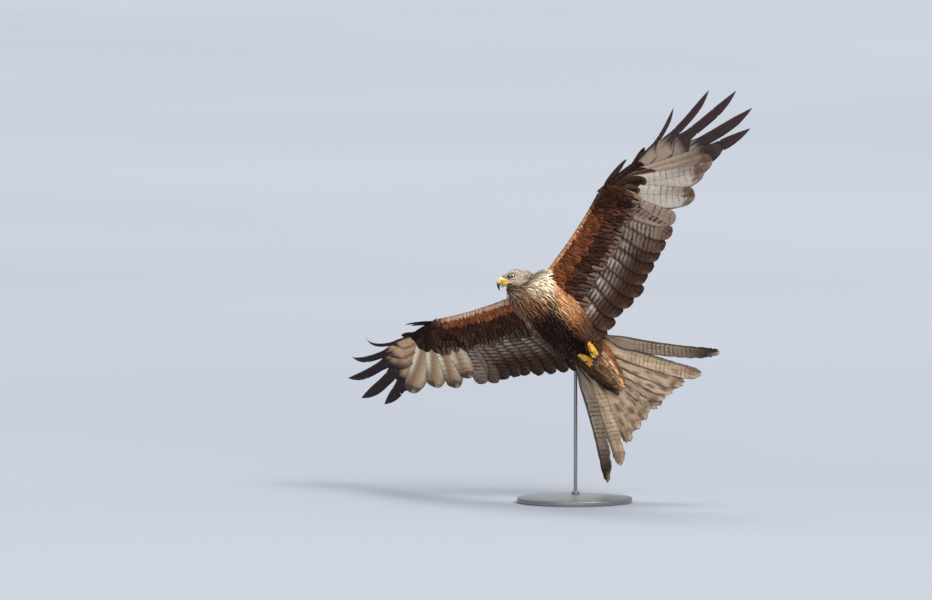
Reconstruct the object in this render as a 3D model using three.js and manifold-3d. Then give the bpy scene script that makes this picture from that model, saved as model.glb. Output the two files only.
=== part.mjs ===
// A life-size museum model of a red kite in a banked turn, held up by one bent rod on a flat round base.
// The bird is built level in its own frame: X to the head, Y to its left, Z to its back, with the origin midway
// between the shoulders. A group then banks it over the stand. Lengths are millimetres.
import * as THREE from "three";
import { mergeVertices } from "three/addons/utils/BufferGeometryUtils.js";
import Module from "manifold-3d";

const wasm = await Module();
wasm.setup();
const { Manifold } = wasm;

// Driving sizes
const GAP = 0.3; // between neighbouring solids
const ARM_LENGTH = 298; // shoulder to wrist, with the feathers ahead of the joint
const SHOULDER_HALF = 44; // shoulder joint off the body's middle
const TAIL_ROOT_X = -208;
const TAIL_CENTRE_LENGTH = 264; // the middle pair of tail feathers
const TAIL_FORK = 130; // by how much the outermost pair is longer
const TAIL_HALF_FAN = 38.2; // degrees from the tail's axis to the outermost feather
const BASE_RADIUS = 160;
const BASE_HEIGHT = 14;
const ROD_RADIUS = 5;

// The banked pose: the bird's own axes in the part's frame, and where the point between its shoulders stands
const FORWARD = new THREE.Vector3(-0.654, -0.173, 0.736);
const LEFT = new THREE.Vector3(0.735, -0.3735, 0.5655);
const SHOULDERS_AT = new THREE.Vector3(-103, -10, 584);

const V = (x, y, z) => new THREE.Vector3(x, y, z);
const mix = (a, b, t) => a + (b - a) * t;
const radians = THREE.MathUtils.degToRad;
const clamp01 = (t) => Math.min(1, Math.max(0, t));
const smooth = (t) => clamp01(t) ** 2 * (3 - 2 * clamp01(t));

// Reads a table of [position, values...] rows at any position between them.
function along(rows, at) {
  const last = rows.length - 1;
  const rising = rows[last][0] > rows[0][0];
  let i = 0;
  while (i < last - 1 && (rising ? at > rows[i + 1][0] : at < rows[i + 1][0])) i += 1;
  const [a, b] = [rows[i], rows[i + 1]];
  const t = clamp01((at - a[0]) / (b[0] - a[0]));
  return a.slice(1).map((value, k) => mix(value, b[k + 1], t));
}

// Solids
function solid(points, triangles) {
  const build = (flat) =>
    new Manifold(
      new wasm.Mesh({
        numProp: 3,
        vertProperties: new Float32Array(points.flatMap((p) => [p.x, p.y, p.z])),
        triVerts: new Uint32Array(flat),
      }),
    );
  const made = build(triangles.flat());
  return made.volume() > 0 ? made : build(triangles.flatMap(([a, b, c]) => [a, c, b]));
}

// A closed skin through rings of equal length, with a fan on each end.
function loft(rings) {
  const count = rings[0].length;
  const points = rings.flat();
  const triangles = [];
  for (let i = 0; i + 1 < rings.length; i += 1) {
    for (let k = 0; k < count; k += 1) {
      const [a, b] = [i * count + k, i * count + ((k + 1) % count)];
      triangles.push([a, b, b + count], [a, b + count, a + count]);
    }
  }
  [rings[0], rings[rings.length - 1]].forEach((ring, end) => {
    const first = end * (rings.length - 1) * count;
    const centre = points.length;
    points.push(ring.reduce((sum, p) => sum.add(p), V(0, 0, 0)).divideScalar(count));
    for (let k = 0; k < count; k += 1) {
      const pair = [first + k, first + ((k + 1) % count)];
      triangles.push(end ? [centre, ...pair] : [centre, pair[1], pair[0]]);
    }
  });
  return solid(points, triangles);
}

// A thin solid between two grids of points, split into triangles alike on both faces.
function slab(top, bottom) {
  const rows = top.length;
  const cols = top[0].length;
  const T = (i, j) => i * cols + j;
  const B = (i, j) => rows * cols + T(i, j);
  const triangles = [];
  const quad = (a, b, c, d) => triangles.push([a, b, c], [a, c, d]);
  for (let i = 0; i + 1 < rows; i += 1) {
    for (let j = 0; j + 1 < cols; j += 1) {
      quad(T(i, j), T(i + 1, j), T(i + 1, j + 1), T(i, j + 1));
      quad(B(i, j), B(i, j + 1), B(i + 1, j + 1), B(i + 1, j));
    }
    quad(T(i + 1, 0), T(i, 0), B(i, 0), B(i + 1, 0));
    quad(T(i, cols - 1), T(i + 1, cols - 1), B(i + 1, cols - 1), B(i, cols - 1));
  }
  for (let j = 0; j + 1 < cols; j += 1) {
    quad(T(0, j), T(0, j + 1), B(0, j + 1), B(0, j));
    quad(T(rows - 1, j + 1), T(rows - 1, j), B(rows - 1, j), B(rows - 1, j + 1));
  }
  return solid([...top.flat(), ...bottom.flat()], triangles);
}

function ellipsoid(centre, radii, axes = [V(1, 0, 0), V(0, 1, 0), V(0, 0, 1)], detail = 12) {
  const ball = new THREE.SphereGeometry(1, detail, Math.round(detail * 0.6));
  const basis = new THREE.Matrix4().makeBasis(...axes.map((a, i) => a.clone().multiplyScalar(radii[i])));
  ball.applyMatrix4(basis.setPosition(centre));
  return fromGeometry(ball);
}

function fromGeometry(geometry) {
  const bare = geometry.clone();
  bare.deleteAttribute("normal");
  bare.deleteAttribute("uv");
  const merged = mergeVertices(bare, 1e-3);
  const at = merged.attributes.position;
  const points = Array.from({ length: at.count }, (_, i) => V(at.getX(i), at.getY(i), at.getZ(i)));
  const flat = merged.index.array;
  const triangles = [];
  for (let i = 0; i < flat.length; i += 3) {
    const [a, b, c] = flat.slice(i, i + 3);
    if (a !== b && b !== c && a !== c) triangles.push([a, b, c]);
  }
  return solid(points, triangles);
}

const joined = (pieces) => Manifold.union(pieces);

// The largest closed surface of a node: it fills a sealed hollow and drops a loose scrap.
function largest(made) {
  return made.decompose().reduce((a, b) => (b.volume() > a.volume() ? b : a));
}

// A vane from root to tip, as a thin slab of cross-sections. up is the side that its face turns to, and lead points
// to the feather's leading side. sag bows the shaft away from up at half length, and bow towards the leading side.
// A finger narrows beyond its notch. tilt lifts the leading edge, so that neighbours lie over one another unjoined.
const ROUNDING = 0.8; // the share of its length where a vane begins to close
const SHORT = [0, 0.5, 0.84, 1];
const LONG = [0, 0.18, 0.5, 0.84, 0.94, 1];
function vane({ root, tip, up, lead, width, share = 0.4, sag = 0, bow = 0, tilt = 4.5, notch, thick = 1, stations = LONG }) {
  const chord = tip.clone().sub(root);
  const place = (s) =>
    root
      .clone()
      .addScaledVector(chord, s)
      .addScaledVector(up, -sag * 4 * s * (1 - s))
      .addScaledVector(lead, bow * 4 * s * (1 - s));
  const [c, t] = [Math.cos(radians(tilt)), Math.sin(radians(tilt))];
  const rows = stations.map((s, i) => {
    const forward = place(Math.min(1, s + 0.05)).sub(place(Math.max(0, s - 0.05))).normalize();
    const flat = lead.clone().addScaledVector(forward, -lead.dot(forward)).normalize();
    const face = up.clone().addScaledVector(forward, -up.dot(forward)).addScaledVector(flat, -up.dot(flat)).normalize();
    const side = flat.clone().multiplyScalar(c).addScaledVector(face, t);
    const normal = face.clone().multiplyScalar(c).addScaledVector(flat, -t);
    const opening = mix(0.45, 1, smooth(s / 0.2));
    const closing = Math.sqrt(1 - 0.86 * clamp01((s - ROUNDING) / (1 - ROUNDING)) ** 2);
    const past = notch ? smooth((s - notch.at + 0.08) / 0.14) : 0;
    const full = width * opening * closing;
    const centre = place(s);
    const half = (thick * mix(1, 0.6, i / (stations.length - 1))) / 2;
    const leading = full * share * mix(1, 0.7, past);
    const trailing = full * (1 - share) * mix(1, notch ? notch.left : 1, past);
    return [1, -1].map((facing) =>
      [leading, -trailing].map((reach) => centre.clone().addScaledVector(side, reach).addScaledVector(normal, facing * half)),
    );
  });
  return slab(
    rows.map(([top]) => top),
    rows.map(([, bottom]) => bottom),
  );
}

const vanes = (specs) => specs.map(vane);

// The body
const TORSO = [
  // x, half width, height of the back, depth of the belly
  [30, 66, 38, 66],
  [4, 74, 44, 74],
  [-25, 78, 47, 81],
  [-60, 80, 48, 84],
  [-105, 79, 47, 80],
  [-150, 70, 42, 70],
  [-190, 58, 35, 56],
  [-224, 44, 26, 40],
];
const TORSO_SIDES = 20;

function torsoRing([x, half, back, belly], grow) {
  return Array.from({ length: TORSO_SIDES }, (_, k) => {
    const turn = (2 * Math.PI * k) / TORSO_SIDES;
    const [across, rise] = [Math.cos(turn), Math.sin(turn)];
    return V(x, across * (half + grow), rise * ((rise > 0 ? back : belly) + grow) - 4);
  });
}

function torsoCore(grow = 0) {
  const rows = TORSO.map((row) => torsoRing(row, grow));
  const ends = [
    rows[0].map((p) => p.clone().add(V(grow, 0, 0))),
    ...rows.slice(1, -1),
    rows[rows.length - 1].map((p) => p.clone().add(V(-grow, 0, 0))),
  ];
  return loft(ends);
}

// Head frame: the head is turned to the bird's right and rolled, as it is held level in the turn
const HEAD_AT = V(77.7, -26.5, 8);
const HEAD_FORWARD = V(0.452, -0.7035, -0.5474).normalize();
const HEAD_UP_GUIDE = V(0.891, 0.348, 0.287);
const HEAD_LEFT = HEAD_UP_GUIDE.clone().cross(HEAD_FORWARD).normalize();
const HEAD_UP = HEAD_FORWARD.clone().cross(HEAD_LEFT).normalize();
const inHead = (x, y, z) =>
  HEAD_AT.clone().addScaledVector(HEAD_FORWARD, x).addScaledVector(HEAD_LEFT, y).addScaledVector(HEAD_UP, z);

const HEAD = [
  // forward, half width, top, bottom
  [-46, 14, -4, -28],
  [-39, 20, 5, -33],
  [-27, 24, 13.5, -34],
  [-12, 25.5, 20, -32],
  [0, 25, 21.5, -28],
  [12, 22.5, 20, -25],
  [22, 18, 16.5, -23],
  [30, 12.5, 13, -20],
];
const EYE = { forward: 7.3, out: 15.5, up: 5.1, radius: 7.6 };

function headRing([x, half, top, bottom], sides = 16) {
  return Array.from({ length: sides }, (_, k) => {
    const turn = (2 * Math.PI * k) / sides;
    const middle = (top + bottom) / 2;
    return inHead(x, Math.cos(turn) * half, middle + (Math.sin(turn) * (top - bottom)) / 2);
  });
}

const eyeCentre = (side) => inHead(EYE.forward, side * EYE.out, EYE.up);

function headCore(grow = 0) {
  const axes = [HEAD_FORWARD, HEAD_LEFT, HEAD_UP];
  const around = (centre, radii, detail) => ellipsoid(centre, radii.map((r) => r + grow), axes, detail);
  const brows = [1, -1].map((side) => around(inHead(EYE.forward + 1, side * 15.5, EYE.up + 7.6), [11, 4.6, 2.6], 10));
  const lids = [1, -1].map((side) => around(eyeCentre(side).addScaledVector(HEAD_LEFT, side * 2.2), [8.6, 5.2, 7.8], 12));
  const rows = HEAD.map(([x, half, top, bottom], i) => headRing([i ? x : x - grow, half + grow, top + grow, bottom - grow]));
  return joined([loft(rows), ...brows, ...lids]);
}

const UPPER_BILL = [
  // centre forward and up, half width, half depth, degrees that the section is turned down
  [21, 1, 8.5, 10.5, 0],
  [30, 0, 8.2, 9.6, 4],
  [36, -0.8, 6.9, 8.8, 12],
  [41, -2.8, 5.6, 7.8, 26],
  [44.2, -6.6, 4.4, 6.2, 46],
  [45.8, -11.5, 3.2, 4.4, 68],
  [46.2, -17, 1.9, 2.6, 84],
  [46, -23, 0.7, 0.9, 92],
];
const LOWER_BILL = [
  [18, -13.5, 7.6, 3.6],
  [27, -14.6, 6.8, 3.4],
  [34, -15.6, 5, 2.8],
  [39.5, -16.4, 2.6, 1.6],
];

// The upper bill runs out along the cere and then hooks down to its tip.
function upperBill(grow = 0) {
  return loft(
    UPPER_BILL.map(([x, z, half, high, turn]) =>
      Array.from({ length: 12 }, (_, k) => {
        const a = (2 * Math.PI * k) / 12;
        const rise = Math.sin(a) * (high + grow);
        return inHead(x + rise * Math.sin(radians(turn)), Math.cos(a) * (half + grow), z + rise * Math.cos(radians(turn)));
      }),
    ),
  );
}

function lowerBill(grow = 0) {
  return loft(
    LOWER_BILL.map(([x, z, half, deep]) =>
      Array.from({ length: 10 }, (_, k) => {
        const a = (2 * Math.PI * k) / 10;
        return inHead(x, Math.cos(a) * (half + grow), z + Math.sin(a) * (deep + grow));
      }),
    ),
  );
}

// The neck: rings from the front of the breast round to the back of the head
const NECK = [
  // centre, half width, half depth
  [V(30 + GAP, 0, -14), 66, 52],
  [V(40, -7, -12), 61, 48],
  [V(49, -17, -8), 51, 42],
  [inHead(-4, 6, -25), 37, 34],
  [inHead(-6, 1, -9), 25, 24],
];

function neckCore(grow = 0) {
  return loft(
    NECK.map(([centre, half, deep], i) => {
      const heading = V(1, 0, 0).lerp(HEAD_UP, i / (NECK.length - 1)).normalize();
      const out = V(0, 1, 0).addScaledVector(heading, -heading.y).normalize();
      const up = heading.clone().cross(out).normalize();
      return Array.from({ length: TORSO_SIDES }, (_, k) => {
        const a = (2 * Math.PI * k) / TORSO_SIDES;
        return centre
          .clone()
          .addScaledVector(out, Math.cos(a) * (half + grow))
          .addScaledVector(up, Math.sin(a) * (deep + grow));
      });
    }),
  );
}

// Both wings are built as a left wing in the bird's frame, each with its own sweep and raise, and the right one
// is then mirrored. A wing has the arm's axes and the hand's: out along the bone, forward and up.
const WING_POSE = {
  left: { armSweep: 22.2, armRaise: 16.4, handSweep: 15, handRaise: 27, twist: 0 },
  right: { armSweep: 18, armRaise: 13.8, handSweep: 15, handRaise: 27, twist: 7 },
};
const SHOULDER = V(0, SHOULDER_HALF, 0);

function planeAxes(out, forwardGuide) {
  const forward = forwardGuide.clone().addScaledVector(out, -forwardGuide.dot(out)).normalize();
  return { out, forward, up: forward.clone().cross(out).normalize() };
}

function boneAxes(sweep, raise) {
  const [s, r] = [radians(sweep), radians(raise)];
  return planeAxes(V(Math.sin(s) * Math.cos(r), Math.cos(s) * Math.cos(r), Math.sin(r)), V(Math.cos(s), -Math.sin(s), 0));
}

// Points of a wing by distance out, forward and up. The hand folds up from the arm's plane about one line through
// the wrist, and share 0 leaves a point of the hand in the arm's plane.
function wingFrame({ armSweep, armRaise, handSweep, handRaise, twist }) {
  const arm = boneAxes(armSweep, armRaise);
  arm.forward.applyAxisAngle(arm.out, radians(twist));
  arm.up.applyAxisAngle(arm.out, radians(twist));
  const hand = boneAxes(-handSweep, handRaise);
  const wrist = SHOULDER.clone().addScaledVector(arm.out, ARM_LENGTH);
  const place = (origin, axes, u, v, h) =>
    origin.clone().addScaledVector(axes.out, u).addScaledVector(axes.forward, v).addScaledVector(axes.up, h);
  const foldAxis = arm.up.clone().cross(hand.up).normalize();
  const foldAngle = arm.up.angleTo(hand.up);
  const handAxes = (share) => {
    const turn = (v) => v.clone().applyAxisAngle(foldAxis, (share - 1) * foldAngle);
    return { out: turn(hand.out), forward: turn(hand.forward), up: turn(hand.up) };
  };
  return {
    arm,
    wrist,
    handAxes,
    inArm: (u, v, h = 0) => place(SHOULDER, arm, u, v, h),
    inHand: (u, v, h = 0, share = 1) => place(wrist, handAxes(share), u, v, h),
  };
}

const ARM_CORE = [
  // out from the shoulder, leading edge, rear edge, thickness
  [-30, 6, -92, 40],
  [20, 26, -96, 36],
  [70, 20, -92, 29],
  [120, 13, -80, 24],
  [180, 7, -62, 20],
  [240, 4, -48, 17],
  [300, 4, -34, 14],
];
const HAND_CORE = [
  [-6, 6, -30, 14],
  [40, 15, -26, 12],
  [85, 23, -16, 9],
  [118, 27, -2, 6],
];
const AIRFOIL_STEPS = 5;

function airfoil(place, [u, lead, rear, thick]) {
  const steps = Array.from({ length: AIRFOIL_STEPS }, (_, k) => (1 - Math.cos((Math.PI * (k + 1)) / AIRFOIL_STEPS)) / 2);
  const half = (x) => (thick / 2) * (Math.sqrt(x) * (1 - x) * 2.6 + 0.16 * x);
  const point = (x, side) => place(u, mix(lead, rear, x), side * half(x));
  return [point(0, 1), ...steps.map((x) => point(x, 1)), ...steps.reverse().map((x) => point(x, -1))];
}

// Half the thickness of the arm's core at a place on it
function armHalf(u, v) {
  const [lead, rear, thick] = along(ARM_CORE, u);
  const x = clamp01((lead - v) / (lead - rear));
  return (thick / 2) * (Math.sqrt(x) * (1 - x) * 2.6 + 0.16 * x);
}

// Flight feathers of the arm, from number 0 at the wrist to the last against the body
const ARM_FEATHERS = 16;
const ELBOW_SHARE = 0.72;
function armFeathers({ arm, inArm }) {
  return Array.from({ length: ARM_FEATHERS }, (_, k) => {
    const t = (k / (ARM_FEATHERS - 1)) * 1.1;
    const inner = (t - ELBOW_SHARE) / (1 - ELBOW_SHARE);
    const [u, v] = t < ELBOW_SHARE ? [mix(286, 120, t / ELBOW_SHARE), mix(-12, -44, t / ELBOW_SHARE)] : [mix(120, 26, inner), -46];
    const endV = -mix(228, 213, t) - 10 * Math.sin(Math.PI * clamp01(t));
    return {
      root: inArm(u, v),
      tip: inArm(mix(293, -32, t), endV, -2),
      up: arm.up,
      lead: arm.out,
      width: mix(42, 48, t),
      share: 0.38,
      sag: -5,
      bow: 3,
    };
  });
}

// A tier of coverts on each face of the arm
const ARM_COVERTS = { count: 10, from: -28, to: -114, width: 38, height: 5.4 };
function armCoverts({ arm, inArm }) {
  const { count, from, to, width, height } = ARM_COVERTS;
  return [1, -1].flatMap((face) =>
    Array.from({ length: count }, (_, k) => {
      const u = mix(274, 48, k / (count - 1));
      const end = to - 10 * (1 - u / ARM_LENGTH);
      return {
        root: inArm(u, from, face * (armHalf(u, from) - 2)),
        tip: inArm(u + 5, end, face * Math.max(height, armHalf(u, end) + 1)),
        up: arm.up.clone().multiplyScalar(face),
        lead: arm.out,
        width,
        tilt: 4.5 * face,
        thick: 0.9,
        stations: SHORT,
      };
    }),
  );
}

// Primaries from the innermost to the outermost: the tip out, forward and up from the wrist, and for a finger
// where along the feather it narrows
const PRIMARIES = [
  { tip: [158, -168, -2], width: 56 },
  { tip: [228, -134, -2], width: 60 },
  { tip: [281, -95, -1], width: 60 },
  { tip: [320, -76, 0], width: 58 },
  { tip: [362, -58, 2], width: 56 },
  { tip: [461, -55, 6], width: 58, notch: 0.56 },
  { tip: [500, -3, 10], width: 56, notch: 0.5 },
  { tip: [475, 62, 14], width: 52, notch: 0.44 },
  { tip: [400, 100, 18], width: 44, notch: 0.42 },
  { tip: [288, 106, 22], width: 32, notch: 0.4 },
];
const HAND_TIP = [112, 18];

function primary({ handAxes, inHand }, k) {
  const { tip, width, notch } = PRIMARIES[k];
  const t = k / (PRIMARIES.length - 1);
  const share = smooth(0.15 + t * 1.3);
  const axes = handAxes(share);
  const root = [mix(8, HAND_TIP[0] - 6, t), mix(-8, HAND_TIP[1] - 6, t)];
  const heading = Math.atan2(tip[1] - root[1], tip[0] - root[0]) + Math.PI / 2;
  return {
    root: inHand(...root, 0, share),
    tip: inHand(...tip, share),
    up: axes.up,
    lead: axes.out.clone().multiplyScalar(Math.cos(heading)).addScaledVector(axes.forward, Math.sin(heading)),
    width,
    share: notch ? 0.3 : 0.34,
    sag: mix(-5, 12, t),
    bow: notch ? -11 : -2,
    notch: notch && { at: notch, left: 0.42 },
    stations: notch ? [0, 0.16, notch - 0.07, notch + 0.06, 0.8, 0.94, 1] : LONG,
  };
}

const PRIMARY_COVERTS = [0, 1.2, 2.4, 3.6, 5, 6.6, 8.4];
function handCoverts(wing) {
  return PRIMARY_COVERTS.flatMap((number) => {
    const [low, high] = [primary(wing, Math.floor(number)), primary(wing, Math.ceil(number))];
    const root = low.root.clone().lerp(high.root, number % 1);
    const toTip = low.tip.clone().lerp(high.tip, number % 1).sub(root).normalize();
    const reach = mix(112, 96, number / 9);
    return [1, -1].map((face) => ({
      root: root.clone().addScaledVector(low.up, face * 1.5),
      tip: root.clone().addScaledVector(toTip, reach).addScaledVector(low.up, face * 6),
      up: low.up.clone().multiplyScalar(face),
      lead: low.lead,
      width: 32,
      tilt: 4.5 * face,
      thick: 0.9,
      stations: SHORT,
    }));
  });
}

const ALULA_TIPS = [
  [104, 47, 4],
  [92, 34, 6],
  [78, 22, 8],
];
function alula({ handAxes, inHand }) {
  const axes = handAxes(1);
  return ALULA_TIPS.map(([u, v, h], k) => ({
    root: inHand(16 + 4 * k, -2 - 3 * k, 2),
    tip: inHand(u, v, h),
    up: axes.up,
    lead: axes.forward,
    width: 17,
    sag: 2,
    bow: 2,
    tilt: -4,
    thick: 1.1,
    stations: SHORT,
  }));
}

// The arm and the hand meet face to face across one plane at the wrist.
function wingArm(wing) {
  const { arm, wrist, inArm } = wing;
  const whole = joined([loft(ARM_CORE.map((row) => airfoil(inArm, row))), ...vanes([...armFeathers(wing), ...armCoverts(wing)])]);
  return whole.trimByPlane(arm.out.clone().negate().toArray(), GAP / 2 - arm.out.dot(wrist));
}

function wingHand(wing) {
  const { arm, wrist, inHand } = wing;
  const feathers = [...PRIMARIES.map((_, k) => primary(wing, k)), ...handCoverts(wing), ...alula(wing)];
  const whole = joined([loft(HAND_CORE.map((row) => airfoil(inHand, row))), ...vanes(feathers)]);
  return whole.trimByPlane(arm.out.toArray(), arm.out.dot(wrist) + GAP / 2);
}

// The tail: its own axes are twisted about the body's, as a kite steers
const tailAxes = (() => {
  const back = V(-300, 0, 60).normalize();
  const left = V(23, 209, 120).addScaledVector(back, -V(23, 209, 120).dot(back)).normalize();
  return { back, left, up: left.clone().cross(back).normalize() };
})();
const TAIL_ROOT = V(TAIL_ROOT_X, 0, -3);
const inTail = (back, left, up) =>
  TAIL_ROOT.clone().addScaledVector(tailAxes.back, back).addScaledVector(tailAxes.left, left).addScaledVector(tailAxes.up, up);

const TAIL_PAIRS = 6;
function tailFeathers(side) {
  return Array.from({ length: TAIL_PAIRS }, (_, k) => {
    const t = k / (TAIL_PAIRS - 1);
    const fan = radians(TAIL_HALF_FAN * mix(0.11, 1, t ** 1.12));
    const length = TAIL_CENTRE_LENGTH + TAIL_FORK * (fan / radians(TAIL_HALF_FAN)) ** 1.7;
    const out = tailAxes.back.clone().multiplyScalar(-Math.sin(fan)).addScaledVector(tailAxes.left, side * Math.cos(fan));
    return {
      root: inTail(mix(20, 6, t), side * mix(2.5, 42, t), 0),
      tip: inTail(length * Math.cos(fan), side * (length * Math.sin(fan) + mix(2, 0, t)), 0),
      up: tailAxes.up,
      lead: out,
      width: mix(42, 36, t),
      share: mix(0.5, 0.3, t),
      sag: -3,
      bow: mix(0, -5, t),
      tilt: 3.5,
    };
  });
}

// Coverts over and under the roots of the tail feathers
const TAIL_COVERTS = [
  { face: 1, reach: 96, height: 6 },
  { face: -1, reach: 122, height: 8 },
];
function tailCoverts(side) {
  return TAIL_COVERTS.flatMap(({ face, reach, height }) =>
    [0.14, 0.5, 0.86].map((t) => {
      const fan = radians(TAIL_HALF_FAN * t * 0.8);
      return {
        root: inTail(4, side * mix(4, 40, t), face * 3),
        tip: inTail(reach * Math.cos(fan), side * (mix(8, 30, t) + reach * Math.sin(fan)), face * height),
        up: tailAxes.up.clone().multiplyScalar(face),
        lead: tailAxes.left.clone().multiplyScalar(side),
        width: 36,
        tilt: 3.5 * face,
        stations: SHORT,
      };
    }),
  );
}

function tailHalf(side) {
  const block = ellipsoid(inTail(8, side * 24, -1), [36, 27, 12], [tailAxes.back, tailAxes.left, tailAxes.up], 12);
  return joined([block, ...vanes([...tailFeathers(side), ...tailCoverts(side)])]);
}

// Legs: a feathered shank under the belly, and a bare yellow foot clenched behind it
const FEET = {
  left: { heel: V(-176, 38, -50), toes: V(-228, 34, -62) },
  right: { heel: V(-186, -10, -52), toes: V(-236, 2, -62) },
};

function tubeBetween(from, to, r0, r1, sides = 8, steps = 3) {
  const path = new THREE.LineCurve3(from, to);
  return tube(path, (t) => mix(r0, r1, t), sides, steps);
}

function tube(path, radius, sides, steps) {
  const frames = path.computeFrenetFrames(steps, false);
  return loft(
    Array.from({ length: steps + 1 }, (_, i) => {
      const centre = path.getPointAt(i / steps);
      return Array.from({ length: sides }, (_, k) => {
        const a = (2 * Math.PI * k) / sides;
        const r = radius(i / steps);
        return centre
          .clone()
          .addScaledVector(frames.normals[i], Math.cos(a) * r)
          .addScaledVector(frames.binormals[i], Math.sin(a) * r);
      });
    }),
  );
}

const TOES = [
  // spread to the side, lower, length, radius
  { side: -9, length: 27, radius: 3.1 },
  { side: 0, length: 31, radius: 3.3 },
  { side: 9, length: 26, radius: 3.1 },
  { side: 3, length: 20, radius: 3.4, hind: true },
];

function toePath({ heel, toes }, { side, length, hind }) {
  const back = toes.clone().sub(heel).normalize();
  const out = V(0, 1, 0).addScaledVector(back, -back.y).normalize();
  const down = back.clone().cross(out).normalize();
  if (down.z > 0) down.negate();
  const start = toes.clone().addScaledVector(out, side * 0.35);
  const reach = hind ? -0.25 : 0.62;
  return new THREE.QuadraticBezierCurve3(
    start,
    start.clone().addScaledVector(back, length * reach).addScaledVector(out, side * 0.5).addScaledVector(down, length * 0.2),
    start.clone().addScaledVector(back, length * (hind ? 0.02 : 0.36)).addScaledVector(out, side * 0.75).addScaledVector(down, length * 0.66),
  );
}

function foot(name) {
  const spec = FEET[name];
  const shank = tubeBetween(spec.heel, spec.toes, 5, 4.2, 8, 2);
  const pad = ellipsoid(spec.toes, [7.5, 6.5, 5], undefined, 8);
  const toes = TOES.map((toe) => tube(toePath(spec, toe), (t) => mix(toe.radius, 2.3, t), 6, 4));
  return joined([shank, pad, ...toes]);
}

function claw(name, toe) {
  const path = toePath(FEET[name], toe);
  const tip = path.getPoint(1);
  const heading = path.getTangent(1);
  const back = FEET[name].heel.clone().sub(FEET[name].toes).normalize();
  const start = tip.clone().addScaledVector(heading, GAP + 0.1);
  const hook = new THREE.QuadraticBezierCurve3(
    start,
    start.clone().addScaledVector(heading, 7),
    start.clone().addScaledVector(heading, 9).addScaledVector(back, 8),
  );
  return tube(hook, (t) => mix(2.1, 0.4, t), 6, 3);
}

const THIGHS = {
  left: { hip: V(-104, 34, -52), knee: V(-178, 39, -52) },
  right: { hip: V(-108, -30, -54), knee: V(-188, -11, -53) },
};

function thigh(name) {
  const { hip, knee } = THIGHS[name];
  return tube(new THREE.LineCurve3(hip, knee), (t) => mix(12, 27, Math.sin(Math.PI * (0.18 + 0.8 * t)) ** 0.8), 12, 6);
}

// The stand
const BACK_SOCKET = V(-148, 4, 36);
function standRod(grow = 0) {
  const end = banked(BACK_SOCKET).add(V(0, -6 - grow, 0));
  const bend = 42;
  const postY = end.y + 76;
  const path = new THREE.CurvePath();
  path.add(new THREE.LineCurve3(V(end.x, postY, BASE_HEIGHT + GAP), V(end.x, postY, end.z - bend)));
  path.add(new THREE.QuadraticBezierCurve3(V(end.x, postY, end.z - bend), V(end.x, postY, end.z), V(end.x, postY - bend, end.z)));
  path.add(new THREE.LineCurve3(V(end.x, postY - bend, end.z), end));
  const rings = [];
  const stations = [0, 0.7, ...Array.from({ length: 8 }, (_, i) => mix(0.7801, 0.9, i / 7)), 1];
  for (const s of stations) {
    const centre = path.getPointAt(s);
    const heading = path.getTangentAt(s);
    const side = V(1, 0, 0);
    const up = heading.clone().cross(side).normalize();
    rings.push(
      Array.from({ length: 12 }, (_, k) => {
        const a = (2 * Math.PI * k) / 12;
        return centre
          .clone()
          .addScaledVector(side, Math.cos(a) * (ROD_RADIUS + grow))
          .addScaledVector(up, Math.sin(a) * (ROD_RADIUS + grow));
      }),
    );
  }
  return loft(rings);
}

function standBase() {
  const edge = 2.5;
  const profile = [
    [0, 0],
    [BASE_RADIUS - edge, 0],
    [BASE_RADIUS, edge],
    [BASE_RADIUS, BASE_HEIGHT - edge],
    [BASE_RADIUS - edge, BASE_HEIGHT],
    [0, BASE_HEIGHT],
  ].map(([x, y]) => new THREE.Vector2(x, y));
  const turned = new THREE.LatheGeometry(profile, 40).rotateX(Math.PI / 2);
  return fromGeometry(turned);
}

// The banked group
const UP = FORWARD.clone().cross(LEFT).normalize();
const bank = new THREE.Matrix4().makeBasis(FORWARD.clone().normalize(), UP.clone().cross(FORWARD).normalize(), UP);
bank.setPosition(SHOULDERS_AT);
function banked(point) {
  return point.clone().applyMatrix4(bank);
}

const LOOKS = {
  rufous: { color: 0x8a4b2a, roughness: 0.85 },
  pale: { color: 0xb7b0a4, roughness: 0.85 },
  brown: { color: 0x4a3830, roughness: 0.8 },
  sand: { color: 0xa08a6c, roughness: 0.8 },
  yellow: { color: 0xe0b020, roughness: 0.5 },
  horn: { color: 0x2b2a2c, roughness: 0.35 },
  iris: { color: 0xd8cfae, roughness: 0.1 },
  steel: { color: 0x55565a, roughness: 0.35, metalness: 0.9 },
};

const model = new THREE.Group();
const bird = new THREE.Group();
bird.applyMatrix4(bank);
const stand = new THREE.Group();
model.add(bird, stand);

function add(group, name, made, look) {
  const kept = largest(made).getMesh();
  const geometry = new THREE.BufferGeometry()
    .setAttribute("position", new THREE.BufferAttribute(new Float32Array(kept.vertProperties), 3))
    .setIndex(new THREE.BufferAttribute(new Uint32Array(kept.triVerts), 1));
  geometry.computeVertexNormals();
  const mesh = new THREE.Mesh(geometry, new THREE.MeshStandardMaterial(LOOKS[look]));
  mesh.name = name;
  group.add(mesh);
}

const unbank = bank.clone().invert().elements;
const rodInBird = (grow) => standRod(grow).transform(Array.from(unbank));
const bodyGrown = torsoCore(GAP);
const neckWhole = neckCore();
const neck = neckWhole.subtract(bodyGrown);
const head = headCore();
const eyeSockets = joined([1, -1].map((side) => ellipsoid(eyeCentre(side), Array(3).fill(EYE.radius + GAP), undefined, 12)));
const upper = upperBill();
const lower = lowerBill().subtract(upperBill(GAP));
const headCut = head.subtract(joined([eyeSockets, upperBill(GAP), lowerBill(GAP), bodyGrown]));
const neckCut = neck.subtract(headCore(GAP));
const neckGrown = neckCore(2 * GAP);
const thighs = { left: thigh("left"), right: thigh("right") };

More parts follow.
